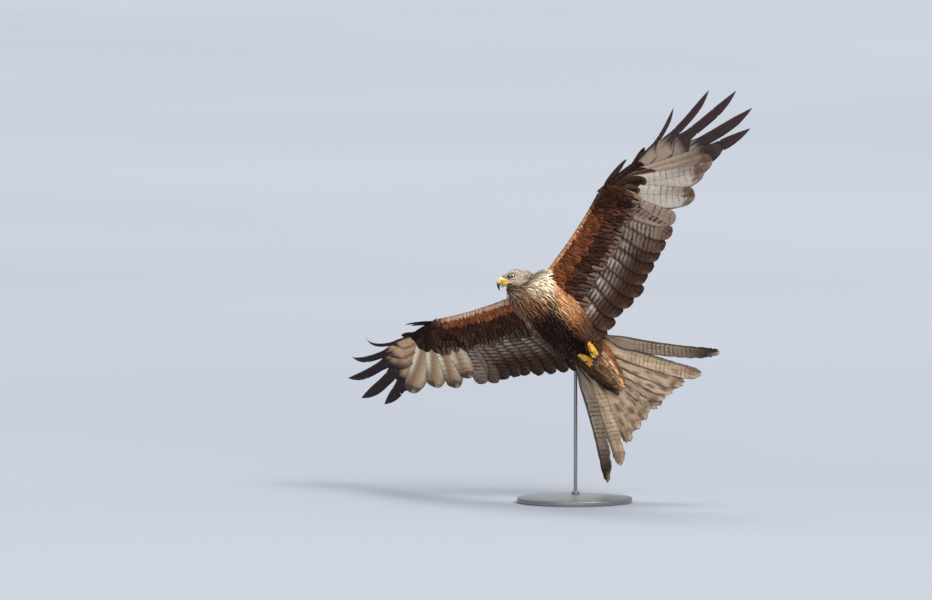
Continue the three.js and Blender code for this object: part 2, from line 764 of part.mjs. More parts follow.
add(bird, "torso", torsoCore().subtract(rodInBird(GAP)), "rufous");
add(bird, "neck", neckCut, "pale");
add(bird, "head", headCut, "pale");
add(bird, "bill_upper", upper, "yellow");
add(bird, "bill_lower", lower, "yellow");
[
  ["left", 1],
  ["right", -1],
].forEach(([name, side]) => {
  add(bird, `eye_${name}`, ellipsoid(eyeCentre(side), Array(3).fill(EYE.radius), undefined, 12), "iris");
  const flip = (made) => (side > 0 ? made : made.mirror([0, 1, 0]));
  const wing = wingFrame(WING_POSE[name]);
  add(bird, `wing_${name}_arm`, flip(wingArm(wing)).subtract(bodyGrown).subtract(neckGrown), "rufous");
  add(bird, `wing_${name}_hand`, flip(wingHand(wing)), "brown");
  const half = tailHalf(side);
  const middle = tailAxes.left.clone().multiplyScalar(side);
  add(bird, `tail_${name}`, half.trimByPlane(middle.toArray(), middle.dot(TAIL_ROOT) + GAP / 2).subtract(bodyGrown), "sand");
  add(bird, `thigh_${name}`, thighs[name].subtract(bodyGrown), "rufous");
  add(bird, `foot_${name}`, foot(name).subtract(bodyGrown).subtract(thighs[name]), "yellow");
  TOES.forEach((toe, k) => add(bird, `claw_${name}_${k + 1}`, claw(name, toe), "horn"));
});
add(stand, "stand_base", standBase(), "steel");
add(stand, "stand_rod", standRod(), "steel");

export default model;
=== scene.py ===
# A life-size museum model of a red kite in a banked turn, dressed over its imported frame.
# Lengths in the dictionaries are millimetres in the bird's own frame: x to the head, y to its left, z to its back.
import math

import bpy
import bmesh
import numpy as np
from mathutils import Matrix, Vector
from mathutils.bvhtree import BVHTree


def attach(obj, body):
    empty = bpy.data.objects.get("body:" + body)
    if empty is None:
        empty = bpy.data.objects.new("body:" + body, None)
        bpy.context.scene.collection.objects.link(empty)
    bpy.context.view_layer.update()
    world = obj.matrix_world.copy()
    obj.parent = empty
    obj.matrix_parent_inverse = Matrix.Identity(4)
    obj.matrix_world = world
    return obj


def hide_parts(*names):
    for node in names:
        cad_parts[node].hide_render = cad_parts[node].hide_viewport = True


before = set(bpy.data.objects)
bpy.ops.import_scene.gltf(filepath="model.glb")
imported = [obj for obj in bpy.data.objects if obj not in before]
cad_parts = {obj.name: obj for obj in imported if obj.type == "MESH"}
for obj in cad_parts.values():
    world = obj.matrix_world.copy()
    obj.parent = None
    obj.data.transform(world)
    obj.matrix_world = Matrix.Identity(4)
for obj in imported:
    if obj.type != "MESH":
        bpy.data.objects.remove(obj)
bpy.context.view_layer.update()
chance = np.random.default_rng(41)

# the camera, as far off and as low as the photo's
view = {"target": (-0.3024, -0.0100, 0.5653), "distance": 40.0, "elevation": 4.0, "lens": 556.0}
rise = math.radians(view["elevation"])
tx, ty, tz = view["target"]
bpy.ops.object.select_all(action="DESELECT")
bpy.ops.object.camera_add(
    location=(tx, ty - view["distance"] * math.cos(rise), tz + view["distance"] * math.sin(rise)),
    rotation=(math.radians(90) - rise, 0, 0),
)
camera = bpy.context.object
camera.data.lens = view["lens"]
camera.data.sensor_width = 36
camera.data.clip_start = 0.5
camera.data.clip_end = 900
bpy.context.scene.camera = camera
print("camera placed")


# small helpers
def unit(v):
    v = np.asarray(v, float)
    return v / np.maximum(np.linalg.norm(v, axis=-1, keepdims=True), 1e-12)


def mix(a, b, t):
    return a + (b - a) * t


def smooth(t):
    t = np.clip(t, 0, 1)
    return t * t * (3 - 2 * t)


def band(t, low, high):
    return smooth((t - low) / (high - low))


def hue(r, g, b):
    # a named colour from its screen values
    return np.array([((c / 255 + 0.055) / 1.055) ** 2.4 if c > 10 else c / 255 / 12.92 for c in (r, g, b)])


def turned(v, axis, angle):
    return v * math.cos(angle) + np.cross(axis, v) * math.sin(angle) + axis * np.dot(axis, v) * (1 - math.cos(angle))


def shift(amount):
    return amount * (chance.random() - 0.5)


def turnsOf(count):
    # the angles of a ring's points
    return [2 * math.pi * k / count for k in range(count)]


def rowAt(rows, at):
    table = np.array(rows, float)
    return [np.interp(at, table[:, 0], table[:, k]) for k in range(1, table.shape[1])]


# the bird's own frame, banked over the stand
bank = {"forward": (-0.654, -0.173, 0.736), "left": (0.735, -0.3735, 0.5655), "shouldersAt": (-103, -10, 584)}
birdUp = unit(np.cross(bank["forward"], bank["left"]))
birdForward = unit(bank["forward"])
birdLeft = np.cross(birdUp, birdForward)
birdAxes = np.stack([birdForward, birdLeft, birdUp])


def banked(points):
    return (np.asarray(points) @ birdAxes + bank["shouldersAt"]) * 0.001


def unbanked(points):
    return (np.asarray(points) * 1000 - bank["shouldersAt"]) @ birdAxes.T


def placesOf(piece):
    # a piece's vertices in the bird's own frame
    at = np.empty(len(piece.data.vertices) * 3)
    piece.data.vertices.foreach_get("co", at)
    return unbanked(at.reshape(-1, 3))


def leaningsOf(piece):
    # its vertex normals in that frame
    normal = np.empty(len(piece.data.vertices) * 3)
    piece.data.vertices.foreach_get("normal", normal)
    return normal.reshape(-1, 3) @ birdAxes.T


def movePlaces(piece, at):
    piece.data.vertices.foreach_set("co", banked(at).astype(np.float32).ravel())
    piece.data.update()


head = {
    "at": np.array([77.7, -26.5, 8]), "forward": unit((0.452, -0.7035, -0.5474)), "upGuide": (0.891, 0.348, 0.287),
    # forward, half width, top, bottom
    "rings": [(-46, 14, -4, -28), (-39, 20, 5, -33), (-27, 24, 13.5, -34), (-12, 25.5, 20, -32), (0, 25, 21.5, -28),
              (12, 22.5, 20, -25), (22, 18, 16.5, -23), (30, 12.5, 13, -20)],
    "eyeForward": 7.3, "eyeOut": 15.5, "eyeUp": 5.1, "eyeRadius": 7.6,
}
headLeft = unit(np.cross(head["upGuide"], head["forward"]))
headUp = np.cross(head["forward"], headLeft)
headAxes = np.stack([head["forward"], headLeft, headUp])


def inHead(x, y, z):
    return head["at"] + x * head["forward"] + y * headLeft + z * headUp


def toHead(points):
    return (np.asarray(points) - head["at"]) @ headAxes.T


torso = {
    # x, half width, height of the back, depth of the belly
    "rings": [(30, 66, 38, 66), (4, 74, 44, 74), (-25, 78, 47, 81), (-60, 80, 48, 84), (-105, 79, 47, 80),
              (-150, 70, 42, 70), (-190, 58, 35, 56), (-224, 44, 26, 40), (-244, 30, 17, 26)],
    "coat": 4.0,
}
neck = {
    # centre, half width, half depth
    "rings": [((6, 0, -14), 66, 52), ((30, 0, -14), 66, 52), ((40, -7, -12), 61, 48), ((49, -17, -8), 51, 42),
              (tuple(inHead(-4, 6, -25)), 37, 34), (tuple(inHead(-6, 1, -9)), 25, 24)],
    "coat": 3.2,
}
thighs = {
    "left": {"hip": (-104, 34, -52), "knee": (-178, 39, -52)},
    "right": {"hip": (-108, -30, -54), "knee": (-188, -11, -53)},
    "coat": 3.0,
}

# the wings' frames: the arm's axes and the hand's, out along the bone, forward and up
wings = {
    "left": {"armSweep": 22.2, "armRaise": 16.4, "handSweep": 15, "handRaise": 27, "twist": 0, "mirror": 1},
    "right": {"armSweep": 18, "armRaise": 13.8, "handSweep": 15, "handRaise": 27, "twist": 7, "mirror": -1},
    "armLength": 298,
    "shoulder": np.array([0, 44, 0]),
    # out from the joint, leading edge, rear edge, thickness
    "armCore": [(-30, 6, -92, 40), (20, 26, -96, 36), (70, 20, -92, 29), (120, 13, -80, 24), (180, 7, -62, 20),
                (240, 4, -48, 17), (300, 4, -34, 14)],
    "handCore": [(-6, 6, -30, 14), (40, 15, -26, 12), (85, 23, -16, 9), (118, 27, -2, 6)],
}


def boneAxes(sweep, raised):
    s, r = math.radians(sweep), math.radians(raised)
    out = np.array([math.sin(s) * math.cos(r), math.cos(s) * math.cos(r), math.sin(r)])
    guide = np.array([math.cos(s), -math.sin(s), 0])
    forward = unit(guide - out * guide.dot(out))
    return out, forward, unit(np.cross(forward, out))


for side in ("left", "right"):
    wing = wings[side]
    out, forward, up = boneAxes(wing["armSweep"], wing["armRaise"])
    twist = math.radians(wing["twist"])
    wing["arm"] = (out, turned(forward, out, twist), turned(up, out, twist))
    wing["hand"] = boneAxes(-wing["handSweep"], wing["handRaise"])
    wing["wrist"] = wings["shoulder"] + wings["armLength"] * out
    wing["foldAxis"] = unit(np.cross(wing["arm"][2], wing["hand"][2]))
    wing["foldAngle"] = math.acos(np.clip(np.dot(wing["arm"][2], wing["hand"][2]), -1, 1))


def handAxes(wing, share):
    return [turned(v, wing["foldAxis"], (share - 1) * wing["foldAngle"]) for v in wing["hand"]]


def inArm(wing, u, v, h=0.0):
    out, forward, up = wing["arm"]
    return wings["shoulder"] + out * u + forward * v + up * h


def inHand(wing, u, v, h=0.0, share=1.0):
    out, forward, up = handAxes(wing, share)
    return wing["wrist"] + out * u + forward * v + up * h


def coreHalf(rows, u, v):
    # half the thickness of a wing's core at a place on it
    lead, rear, thick = rowAt(rows, u)
    x = min(1, max(0, (lead - v) / (lead - rear)))
    return thick / 2 * (math.sqrt(x) * (1 - x) * 2.6 + 0.16 * x)


def airfoil(place, row, steps=9, shrink=0.0):
    u, lead, rear, thick = row
    lead, rear, thick = lead - shrink * 1.5, rear + shrink * 2, thick - 2 * shrink
    xs = [(1 - math.cos(math.pi * k / steps)) / 2 for k in range(steps + 1)]
    half = [thick / 2 * (math.sqrt(x) * (1 - x) * 2.6 + 0.16 * x) for x in xs]
    top = [place(u, mix(lead, rear, x), h) for x, h in zip(xs, half)]
    under = [place(u, mix(lead, rear, x), -h) for x, h in zip(xs, half)]
    return top + under[:0:-1]


# the tail's frame, twisted about the body's, as a kite steers
tail = {"root": np.array([-208, 0, -3]), "halfFan": math.radians(38.2), "pairs": 6}
tailBack = unit((-300, 0, 60))
tailLeft = unit(np.array([23, 209, 120]) - tailBack * np.dot([23, 209, 120], tailBack))
tailUp = np.cross(tailLeft, tailBack)


def inTail(back, left, up):
    return tail["root"] + tailBack * back + tailLeft * left + tailUp * up


# colours, by name
colours = {
    "rufous": hue(136, 76, 46), "orange": hue(188, 120, 74), "tan": hue(206, 162, 124),
    # a pale buff standing for light catching leading edges and contours: painted highlight
    "paintedRimLight": hue(214, 176, 138),
    "chocolate": hue(56, 32, 24), "blackBrown": hue(44, 28, 22), "umber": hue(84, 62, 50),
    "cream": hue(236, 222, 198),
    "windowWhite": hue(190, 174, 154), "greyWhite": hue(226, 214, 202), "paintedBacklitWindow": hue(216, 175, 136),
    "windowGrey": hue(151, 135, 121), "throatGrey": hue(122, 102, 86),
    "fingerBlack": hue(58, 46, 48), "dusk": hue(116, 98, 86), "greyBrown": hue(114, 95, 76),
    "sand": hue(184, 160, 134),
    "sandDark": hue(88, 72, 60), "tailRufous": hue(172, 100, 58), "olive": hue(120, 96, 62),
    "buff": hue(206, 176, 138),
    "streakBlack": hue(30, 20, 18), "lore": hue(30, 25, 22), "peach": hue(240, 186, 134),
    "tailGrey": hue(118, 108, 100), "napeCream": hue(246, 228, 198), "headGrey": hue(222, 210, 194),
}


# selecting, modifiers and joining
def deselect():
    if bpy.context.object and bpy.context.object.mode != "OBJECT":
        bpy.ops.object.mode_set(mode="OBJECT")
    bpy.ops.object.select_all(action="DESELECT")


def choose(piece):
    deselect()
    piece.select_set(True)
    bpy.context.view_layer.objects.active = piece


def modified(piece, kind, **settings):
    # one modifier, set and applied
    bpy.ops.object.modifier_add(type=kind)
    for key, value in settings.items():
        setattr(piece.modifiers[-1], key, value)
    bpy.ops.object.modifier_apply(modifier=piece.modifiers[-1].name)


def joinedPiece(pieces, name):
    choose(pieces[0])
    for piece in pieces:
        piece.select_set(True)
    bpy.ops.object.join()
    bpy.context.object.name = name
    return bpy.context.object


# vanes: each blank is one flat feather, modelled once and copied as arrays
def vaneBlank(stations, columns):
    # a grid with two faces that share its rim
    deselect()
    bpy.ops.mesh.primitive_grid_add(x_subdivisions=len(columns) - 1, y_subdivisions=len(stations) - 1, size=2)
    blank = bpy.context.object
    modified(blank, "SOLIDIFY", thickness=0.02, offset=0)
    bpy.ops.object.mode_set(mode="EDIT")
    bpy.ops.mesh.select_mode(type="VERT")
    bpy.ops.mesh.select_all(action="DESELECT")
    mesh = bmesh.from_edit_mesh(blank.data)
    for vert in mesh.verts:
        vert.select = abs(vert.co.x) > 0.999 or abs(vert.co.y) > 0.999
    mesh.select_flush(True)
    bpy.ops.transform.resize(value=(1, 1, 0), center_override=(0, 0, 0))
    bpy.ops.mesh.remove_doubles(threshold=0.001)
    bpy.ops.object.mode_set(mode="OBJECT")
    data = blank.data
    at = np.empty(len(data.vertices) * 3)
    data.vertices.foreach_get("co", at)
    at = at.reshape(-1, 3)
    faces = np.array([list(p.vertices) for p in data.polygons])
    column = np.rint((at[:, 0] + 1) / 2 * (len(columns) - 1)).astype(int)
    station = np.rint((at[:, 1] + 1) / 2 * (len(stations) - 1)).astype(int)
    face = np.sign(np.round(at[:, 2], 4))
    facing = np.sign(face[faces].sum(axis=1))
    facing[facing == 0] = 1
    bpy.data.objects.remove(blank)
    bpy.data.meshes.remove(data)
    return {"x": np.array(columns, float)[column], "s": np.array(stations, float)[station],
            "station": station, "column": column,
            "face": face, "quads": faces, "facing": facing}


blanks = {
    "flight": vaneBlank(
        [0, 0.03, 0.08, 0.14, 0.2, 0.27, 0.34, 0.4, 0.46, 0.52, 0.57, 0.575, 0.58, 0.63, 0.68, 0.73, 0.77, 0.775,
         0.78, 0.82, 0.86, 0.89, 0.915, 0.935, 0.955, 0.972, 0.986, 1],
        [-1, -0.8, -0.55, -0.3, -0.09, 0, 0.12, 0.5, 1]),
    "covert": vaneBlank([0, 0.2, 0.42, 0.62, 0.78, 0.9, 0.97, 1], [-1, -0.5, 0, 0.5, 1]),
    "contour": vaneBlank([0, 0.3, 0.58, 0.8, 0.94, 1], [-1, 0, 1]),
}


def outline(kind, s, closing):
    # how wide a vane of this kind is at each share of its length, and from where it closes
    if kind == "flight":
        opening = mix(0.16, 1, smooth(s / 0.22))
        return opening * np.sqrt(np.maximum(0, 1 - 0.985 * (np.clip((s - closing) / (1 - closing), 0, 1)) ** 2.2))
    opening = mix(0.34, 1, smooth(s / 0.5))
    return opening * np.sqrt(np.maximum(0, 1 - 0.97 * (np.clip((s - closing) / (1 - closing), 0, 1)) ** 2.3))


def vaneMesh(name, blankName, specs, paint, patches, material, replaced=(), wear=0.0, fray=0.0):
    # copies the blank along each spec's curve, paints it and lays each vane out on its own patch of OFBake
    blank = blanks[blankName]
    count = len(specs)
    get = lambda key, default: np.array([spec.get(key, default) for spec in specs], float)
    p0, p1, p2 = (np.array([spec[key] for spec in specs]) for key in ("root", "control", "tip"))
    up0, up2 = (unit(np.array([spec[key] for spec in specs])) for key in ("upRoot", "upTip"))
    lead = unit(np.array([spec["lead"] for spec in specs]))
    width, share = get("width", 20)[:, None], get("share", 0.5)[:, None]
    tilt = np.tan(np.radians(get("tilt", 0)))[:, None]
    thick, camber, curl = get("thick", 0.8)[:, None], get("camber", 0.06)[:, None], get("curl", 0)[:, None]
    notchAt, notchLeft = get("notchAt", 2)[:, None], get("notchLeft", 1)[:, None]
    length = np.linalg.norm(p2 - p0, axis=1)[:, None]
    # the shaft's curve, with each station a little off its place and frayed ends
    s = np.repeat(blank["s"][None, :], count, 0)
    slide = (chance.random((count, 1)) - 0.5) * 0.1 * (4 * s * (1 - s))
    s = np.clip(s + slide, 0, 1) if blankName == "flight" else s
    frayed = chance.random((count, blank["column"].max() + 1))[:, blank["column"]] ** 2 * fray
    s = s - frayed * band(s, 0.84, 1)
    x = blank["x"][None, :]
    along = s[..., None]
    centre = (1 - along) ** 2 * p0[:, None] + 2 * along * (1 - along) * p1[:, None] + along ** 2 * p2[:, None]
    ahead = unit(2 * (1 - along) * (p1 - p0)[:, None] + 2 * along * (p2 - p1)[:, None])
    up = mix(up0[:, None], up2[:, None], along)
    normal = unit(up - ahead * (up * ahead).sum(-1, keepdims=True))
    sideways = np.cross(ahead, normal)
    hand = np.sign((sideways * lead[:, None]).sum(-1).mean(1, keepdims=True))
    hand[hand == 0] = 1
    b = hand * x
    # how wide the vane is at each place, with its notch, worn edges and splits
    form = outline(blankName, s, get("closing", 0.78 if blankName == "flight" else 0.5)[:, None]
                   - get("slant", 0)[:, None] * (b < 0))
    past = smooth((s - notchAt + 0.07) / 0.12)
    form = form * mix(1, np.sqrt(np.maximum(0.015, 1 - 0.97 * np.clip((s - 0.73) / 0.27, 0, 1) ** 1.7)),
                      notchLeft < 0.99)
    leading = share * mix(1, mix(0.66, 1, notchLeft > 0.99), past)
    trailing = (1 - share) * mix(1, notchLeft, past)
    station = blank["station"][None, :].repeat(count, 0)
    rows = station.max() + 1
    ragged = 1 - wear * chance.random((count, rows)) ** 2 * band(np.linspace(0, 1, rows), 0.1, 0.9)
    if blankName == "flight":
        for split in (11, 17):
            deep = (chance.random(count) < 0.6) * (0.12 + 0.3 * chance.random(count))
            ragged[:, split] *= 1 - deep
    ragged = np.take_along_axis(ragged, station, 1)
    reach = width * form * np.where(b > 0, leading, trailing)
    lateral = np.abs(b) * reach * np.where(np.abs(b) > 0.9, ragged, 1) * np.sign(b)
    # how far it stands off the curve: thickness, shaft, camber, tilt and curl
    shaft = 0.9 * np.exp(-(lateral / 1.6) ** 2) * mix(1, 0.3, s) if blankName == "flight" else 0
    lift = (blank["face"][None, :] * thick / 2 * (mix(1, 0.5, s) + shaft)
            - camber * lateral ** 2 / np.maximum(width, 1))
    lift = lift + tilt * lateral - curl * 4 * s ** 2.4 * (1 - s ** 2.4)
    at = centre + sideways * (hand * lateral)[..., None] + normal * lift[..., None]
    world = banked(at.reshape(-1, 3))
    verts = blank["x"].size
    quads = (blank["quads"][None] + (np.arange(count) * verts)[:, None, None]).reshape(-1, 4)
    # the mesh of all copies
    mesh = bpy.data.meshes.new(name)
    mesh.vertices.add(len(world))
    mesh.vertices.foreach_set("co", world.astype(np.float32).ravel())
    mesh.loops.add(quads.size)
    mesh.loops.foreach_set("vertex_index", quads.ravel().astype(np.int32))
    mesh.polygons.add(len(quads))
    mesh.polygons.foreach_set("loop_start", (np.arange(len(quads)) * 4).astype(np.int32))
    mesh.update(calc_edges=True)
    mesh.polygons.foreach_set("use_smooth", np.ones(len(quads), bool))
    corner = quads.ravel()
    facing = np.tile(np.repeat(blank["facing"], 4), count)
    which = corner // verts
    flat = lambda values: np.broadcast_to(values, (count, verts)).reshape(-1)[corner]
    place = {"s": flat(s), "b": flat(b), "facing": facing, "which": which, "at": at.reshape(-1, 3)[corner],
             "length": length[:, 0][which], "lateral": flat(lateral), "root": p0[which], "spec": specs}
    # its colours and marks, and the two UV maps
    painted = paint(place)
    for key in ("tint", "mark"):
        rgba = np.ones((len(corner), 4), np.float32)
        rgba[:, :3] = painted[key]
        mesh.attributes.new(key, "FLOAT_COLOR", "CORNER").data.foreach_set("color", rgba.ravel())
    marks = np.zeros((len(corner), 4), np.float32)
    for k, key in enumerate(("streak", "bars", "rim", "broad")):
        marks[:, k] = painted.get(key, 0)
    mesh.attributes.new("marks", "FLOAT_COLOR", "CORNER").data.foreach_set("color", marks.ravel())
    run = np.stack([place["lateral"], place["s"] * place["length"], chance.random(count)[which] * 40], 1)
    mesh.attributes.new("run", "FLOAT_VECTOR", "CORNER").data.foreach_set("vector", run.astype(np.float32).ravel())
    bake = mesh.uv_layers.new(name="OFBake")
    centreUv, sizeUv, split = patches["centre"][which], patches["size"], patches.get("split", 0)
    uv = np.stack([centreUv[:, 0] + place["b"] * sizeUv[0] / 2 + facing * split,
                   centreUv[:, 1] + (place["s"] - 0.5) * sizeUv[1]], 1)
    bake.data.foreach_set("uv", uv.astype(np.float32).ravel())
    vane = mesh.uv_layers.new(name="vane")
    vane.data.foreach_set("uv", np.stack([place["b"] / 2 + 0.5, place["s"]], 1).astype(np.float32).ravel())
    piece = bpy.data.objects.new(name, mesh)
    bpy.context.collection.objects.link(piece)
    mesh.materials.append(material)
    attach(piece, "root")
    if replaced:
        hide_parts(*replaced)
    print(f"{name}: {count} vanes, {len(quads) * 2} triangles")
    return piece


def cellPatches(count):
    # each large feather has a tall cell, its upper face in the left half and its lower face in the right half
    return {"centre": np.stack([(np.arange(count) + 0.5) / count, np.full(count, 0.5)], 1),
            "size": (0.42 / count, 0.94), "split": -0.24 / count}


def spotPatches(places):
    # each small feather has a spot at its root's place on the unwrap, places from 0 to 1
    return {"centre": 0.02 + 0.96 * np.clip(np.array(places), 0, 1), "size": (0.003, 0.003), "split": 0}


# plumage material: shaft, streak, bars, pale rim and barbs, all from the vane's own coordinates
def nodeTree(name, roughness, **fixed):
    material = bpy.data.materials.new(name)
    material.use_nodes = True
    tree = material.node_tree
    shader = tree.nodes["Principled BSDF"]
    shader.inputs["Roughness"].default_value = roughness
    for key, value in fixed.items():
        shader.inputs[key.replace("_", " ")].default_value = value
    return material, tree, shader


def maths(tree, what, a, b=None, c=None, clamp=False):
    node = tree.nodes.new("ShaderNodeMath")
    node.operation = what
    node.use_clamp = clamp
    for socket, value in zip(node.inputs, (a, b, c)):
        if value is None:
            continue
        if isinstance(value, (int, float)):
            socket.default_value = value
        else:
            tree.links.new(value, socket)
    return node.outputs[0]


def ramped(tree, value, low, high):
    node = tree.nodes.new("ShaderNodeMapRange")
    node.interpolation_type = "SMOOTHSTEP"
    node.inputs["From Min"].default_value = low
    node.inputs["From Max"].default_value = high
    tree.links.new(value, node.inputs["Value"])
    return node.outputs["Result"]


def blended(tree, amount, first, second, how="MIX"):
    node = tree.nodes.new("ShaderNodeMix")
    node.data_type = "RGBA"
    node.blend_type = how
    for index, value in ((0, amount), (6, first), (7, second)):
        if isinstance(value, (int, float)):
            node.inputs[index].default_value = value
        elif isinstance(value, (tuple, list, np.ndarray)):
            node.inputs[index].default_value = (*[float(c) for c in value][:3], 1)
        else:
            tree.links.new(value, node.inputs[index])
    return node.outputs[2]


def objectPlace(tree):
    return tree.nodes.new("ShaderNodeTexCoord").outputs["Object"]


def noise(tree, scale, detail=3.0, vector=None, roughness=0.55):
    node = tree.nodes.new("ShaderNodeTexNoise")
    node.inputs["Scale"].default_value = scale
    node.inputs["Detail"].default_value = detail
    node.inputs["Roughness"].default_value = roughness
    tree.links.new(vector or objectPlace(tree), node.inputs["Vector"])
    return node.outputs[0]


def axesOf(tree, vector):
    node = tree.nodes.new("ShaderNodeSeparateXYZ")
    tree.links.new(vector, node.inputs[0])
    return node.outputs


def vectorOf(tree, *values):
    node = tree.nodes.new("ShaderNodeCombineXYZ")
    for socket, value in zip(node.inputs, values):
        tree.links.new(value, socket)
    return node.outputs[0]


def shaded(tree, colour, shade):
    # a colour times one grey value
    grey = tree.nodes.new("ShaderNodeCombineColor")
    for socket in grey.inputs[:3]:
        tree.links.new(shade, socket)
    return blended(tree, 1.0, colour, grey.outputs[0], "MULTIPLY")


def bumped(tree, shader, height, strength, distance):
    node = tree.nodes.new("ShaderNodeBump")
    node.inputs["Strength"].default_value = strength
    node.inputs["Distance"].default_value = distance
    tree.links.new(height, node.inputs["Height"])
    tree.links.new(node.outputs["Normal"], shader.inputs["Normal"])


def attribute(tree, name):
    node = tree.nodes.new("ShaderNodeAttribute")
    node.attribute_name = name
    return node


def plumage(name, barSpacing, roughness=0.6, shaftDark=0.6, hairs=0.22, barSlant=0.12, lines=0.0):
    material, tree, shader = nodeTree(name, roughness, Specular_IOR_Level=0.04)
    plus = lambda a, b: maths(tree, "ADD", a, b)
    minus = lambda a, b: maths(tree, "SUBTRACT", a, b)
    times = lambda a, b: maths(tree, "MULTIPLY", a, b)
    scaled = lambda a, by, offset: maths(tree, "MULTIPLY_ADD", a, by, offset)
    tint, mark = attribute(tree, "tint").outputs["Color"], attribute(tree, "mark").outputs["Color"]
    marks = attribute(tree, "marks")
    amounts = tree.nodes.new("ShaderNodeSeparateColor")
    tree.links.new(marks.outputs["Color"], amounts.inputs[0])
    streakAmount, barAmount, rimAmount = amounts.outputs[:3]
    # millimetres from the shaft and along it, and a number of the vane's own
    runVector = attribute(tree, "run").outputs["Vector"]
    lateral, run, own = axesOf(tree, runVector)
    fromShaft = maths(tree, "ABSOLUTE", lateral)
    vane = tree.nodes.new("ShaderNodeUVMap")
    vane.uv_map = "vane"
    across, along, _ = axesOf(tree, vane.outputs["UV"])
    aside = maths(tree, "ABSOLUTE", scaled(across, 2, -1))
    cloudy = noise(tree, 0.11, 3, runVector)
    # barbs run out from the shaft at a slant, and clump into fine hairs
    slant = minus(run, times(fromShaft, 0.8))
    barbs = maths(tree, "SINE", times(plus(slant, cloudy), 5.2))
    hairy = noise(tree, 0.8, 4, vectorOf(tree, slant, times(lateral, 0.06), own), 0.7)
    # dark streak along the shaft, as a drop that widens towards the tip
    drop = times(streakAmount, ramped(tree, along, 0.1, 0.72))
    drop = times(drop, minus(1.0, ramped(tree, along, 0.88, 1.0)))
    streak = ramped(tree, minus(plus(drop, times(hairy, 0.16)), plus(aside, 0.08)), -0.05, 0.1)
    # wavy bars across the vane, broken by the hairs and in patches
    wave = plus(maths(tree, "DIVIDE", minus(run, times(fromShaft, barSlant)), barSpacing), times(cloudy, 0.7))
    wave = maths(tree, "SINE", times(plus(wave, own), 2 * math.pi))
    broad = scaled(marks.outputs["Alpha"], 1.2, -0.86)
    bars = times(ramped(tree, plus(wave, broad), -0.1, 0.3), barAmount)
    bars = times(bars, scaled(ramped(tree, hairy, 0.3, 0.62), 0.5, 0.5))
    bars = times(bars, scaled(ramped(tree, noise(tree, 0.03, 2, runVector), 0.36, 0.56), 0.65, 0.35))
    colour = blended(tree, maths(tree, "MAXIMUM", streak, bars), tint, mark)
    # worn pale rim, and the shaft as a dark thread
    rim = maths(tree, "MAXIMUM", ramped(tree, aside, 0.76, 1.0), ramped(tree, along, 0.88, 0.99))
    colour = blended(tree, times(rim, rimAmount), colour, colours["cream"])
    thread = times(minus(1, ramped(tree, fromShaft, 0.25, 0.75)), shaftDark)
    colour = blended(tree, thread, colour, colours["streakBlack"])
    # light and shade of barbs and hairs, clouds and long lines
    shade = plus(times(barbs, 0.04), scaled(hairy, 2.4 * hairs, 1 - 1.15 * hairs))
    shade = plus(shade, scaled(cloudy, 0.3, -0.15))
    linePlace = vectorOf(tree, times(lateral, 0.34), times(run, 0.022), own)
    shade = plus(shade, scaled(noise(tree, 1.0, 3, linePlace, 0.6), 2 * lines, -lines))
    tree.links.new(shaded(tree, colour, shade), shader.inputs["Base Color"])
    bumped(tree, shader, plus(times(barbs, 0.4), times(hairy, 0.9)), 0.45, 0.0007)
    return material


handMaterial = plumage("hand plumage", 17.0, hairs=0.16, lines=0.25)
armMaterial = plumage("arm plumage", 13.0, hairs=0.24, barSlant=0.42, lines=0.5)
tailMaterial = plumage("tail plumage", 13.0, shaftDark=0.45, hairs=0.42, barSlant=0.3, lines=1.0)
covertMaterial = plumage("covert plumage", 9.0, shaftDark=0.35, hairs=0.5, barSlant=0.4, lines=0.7)
bodyMaterial = plumage("body plumage", 9.0, shaftDark=0.3, hairs=0.6, lines=0.5)
headMaterial = plumage("head plumage", 6.0, shaftDark=0.5, hairs=0.4)


# flight feathers
primaries = {
    # tip out, forward and up from the wrist, width, where the finger narrows
    "tips": {
        "left": [(151, -166, -2), (230, -131, -2), (283, -84, -1), (318, -71, 0), (358, -60, 2), (456, -57, 6),
                 (488, -11, 10), (471, 55, 14), (405, 95, 18), (294, 100, 22)],
        "right": [(60, -205, -2), (112, -175, -2), (185, -164, -1), (246, -120, 0), (345, -80, 2), (480, -53, 6),
                  (530, 6, 10), (492, 73, 14), (400, 107, 18), (286, 114, 22)],
    },
    "widths": [64, 66, 68, 66, 64, 70, 72, 68, 58, 38],
    "notches": [2, 2, 2, 2, 2, 0.66, 0.54, 0.5, 0.46, 0.42],
    "fingers": [1, 1, 1, 1, 1, 0.42, 0.37, 0.33, 0.28, 0.22],
    "closing": [0.92, 0.93, 0.93, 0.93, 0.88, 0.8, 0.8, 0.8, 0.8, 0.8],
    # where each window ends
    "windows": {"left": [0.88, 0.88, 0.88, 0.88, 0.8, 0.64, 0.515, 0.43, 0.41, 0.4],
                "right": [0.88, 0.88, 0.88, 0.9, 0.88, 0.55, 0.45, 0.43, 0.43, 0.37]},
    "handTip": (112, 18),
    "curl": {"left": [0, 0, 0, 0, 0, 4, 6, 8, 8, 6], "right": [0, 0, 0, 0, 0, 6, 9, 14, 18, 18]},
}


def vaneSpec(root, middle, tip, up, lead, **more):
    # a vane on a curve that passes through its middle
    control = 2 * middle - (root + tip) / 2
    return {"root": root, "tip": tip, "control": control, "upRoot": up, "upTip": up, "lead": lead, **more}


def bowed(root, tip, up, lead, sag, bow):
    # the middle of a shaft that sags and bows forward
    return (root + tip) / 2 - up * sag + lead * bow


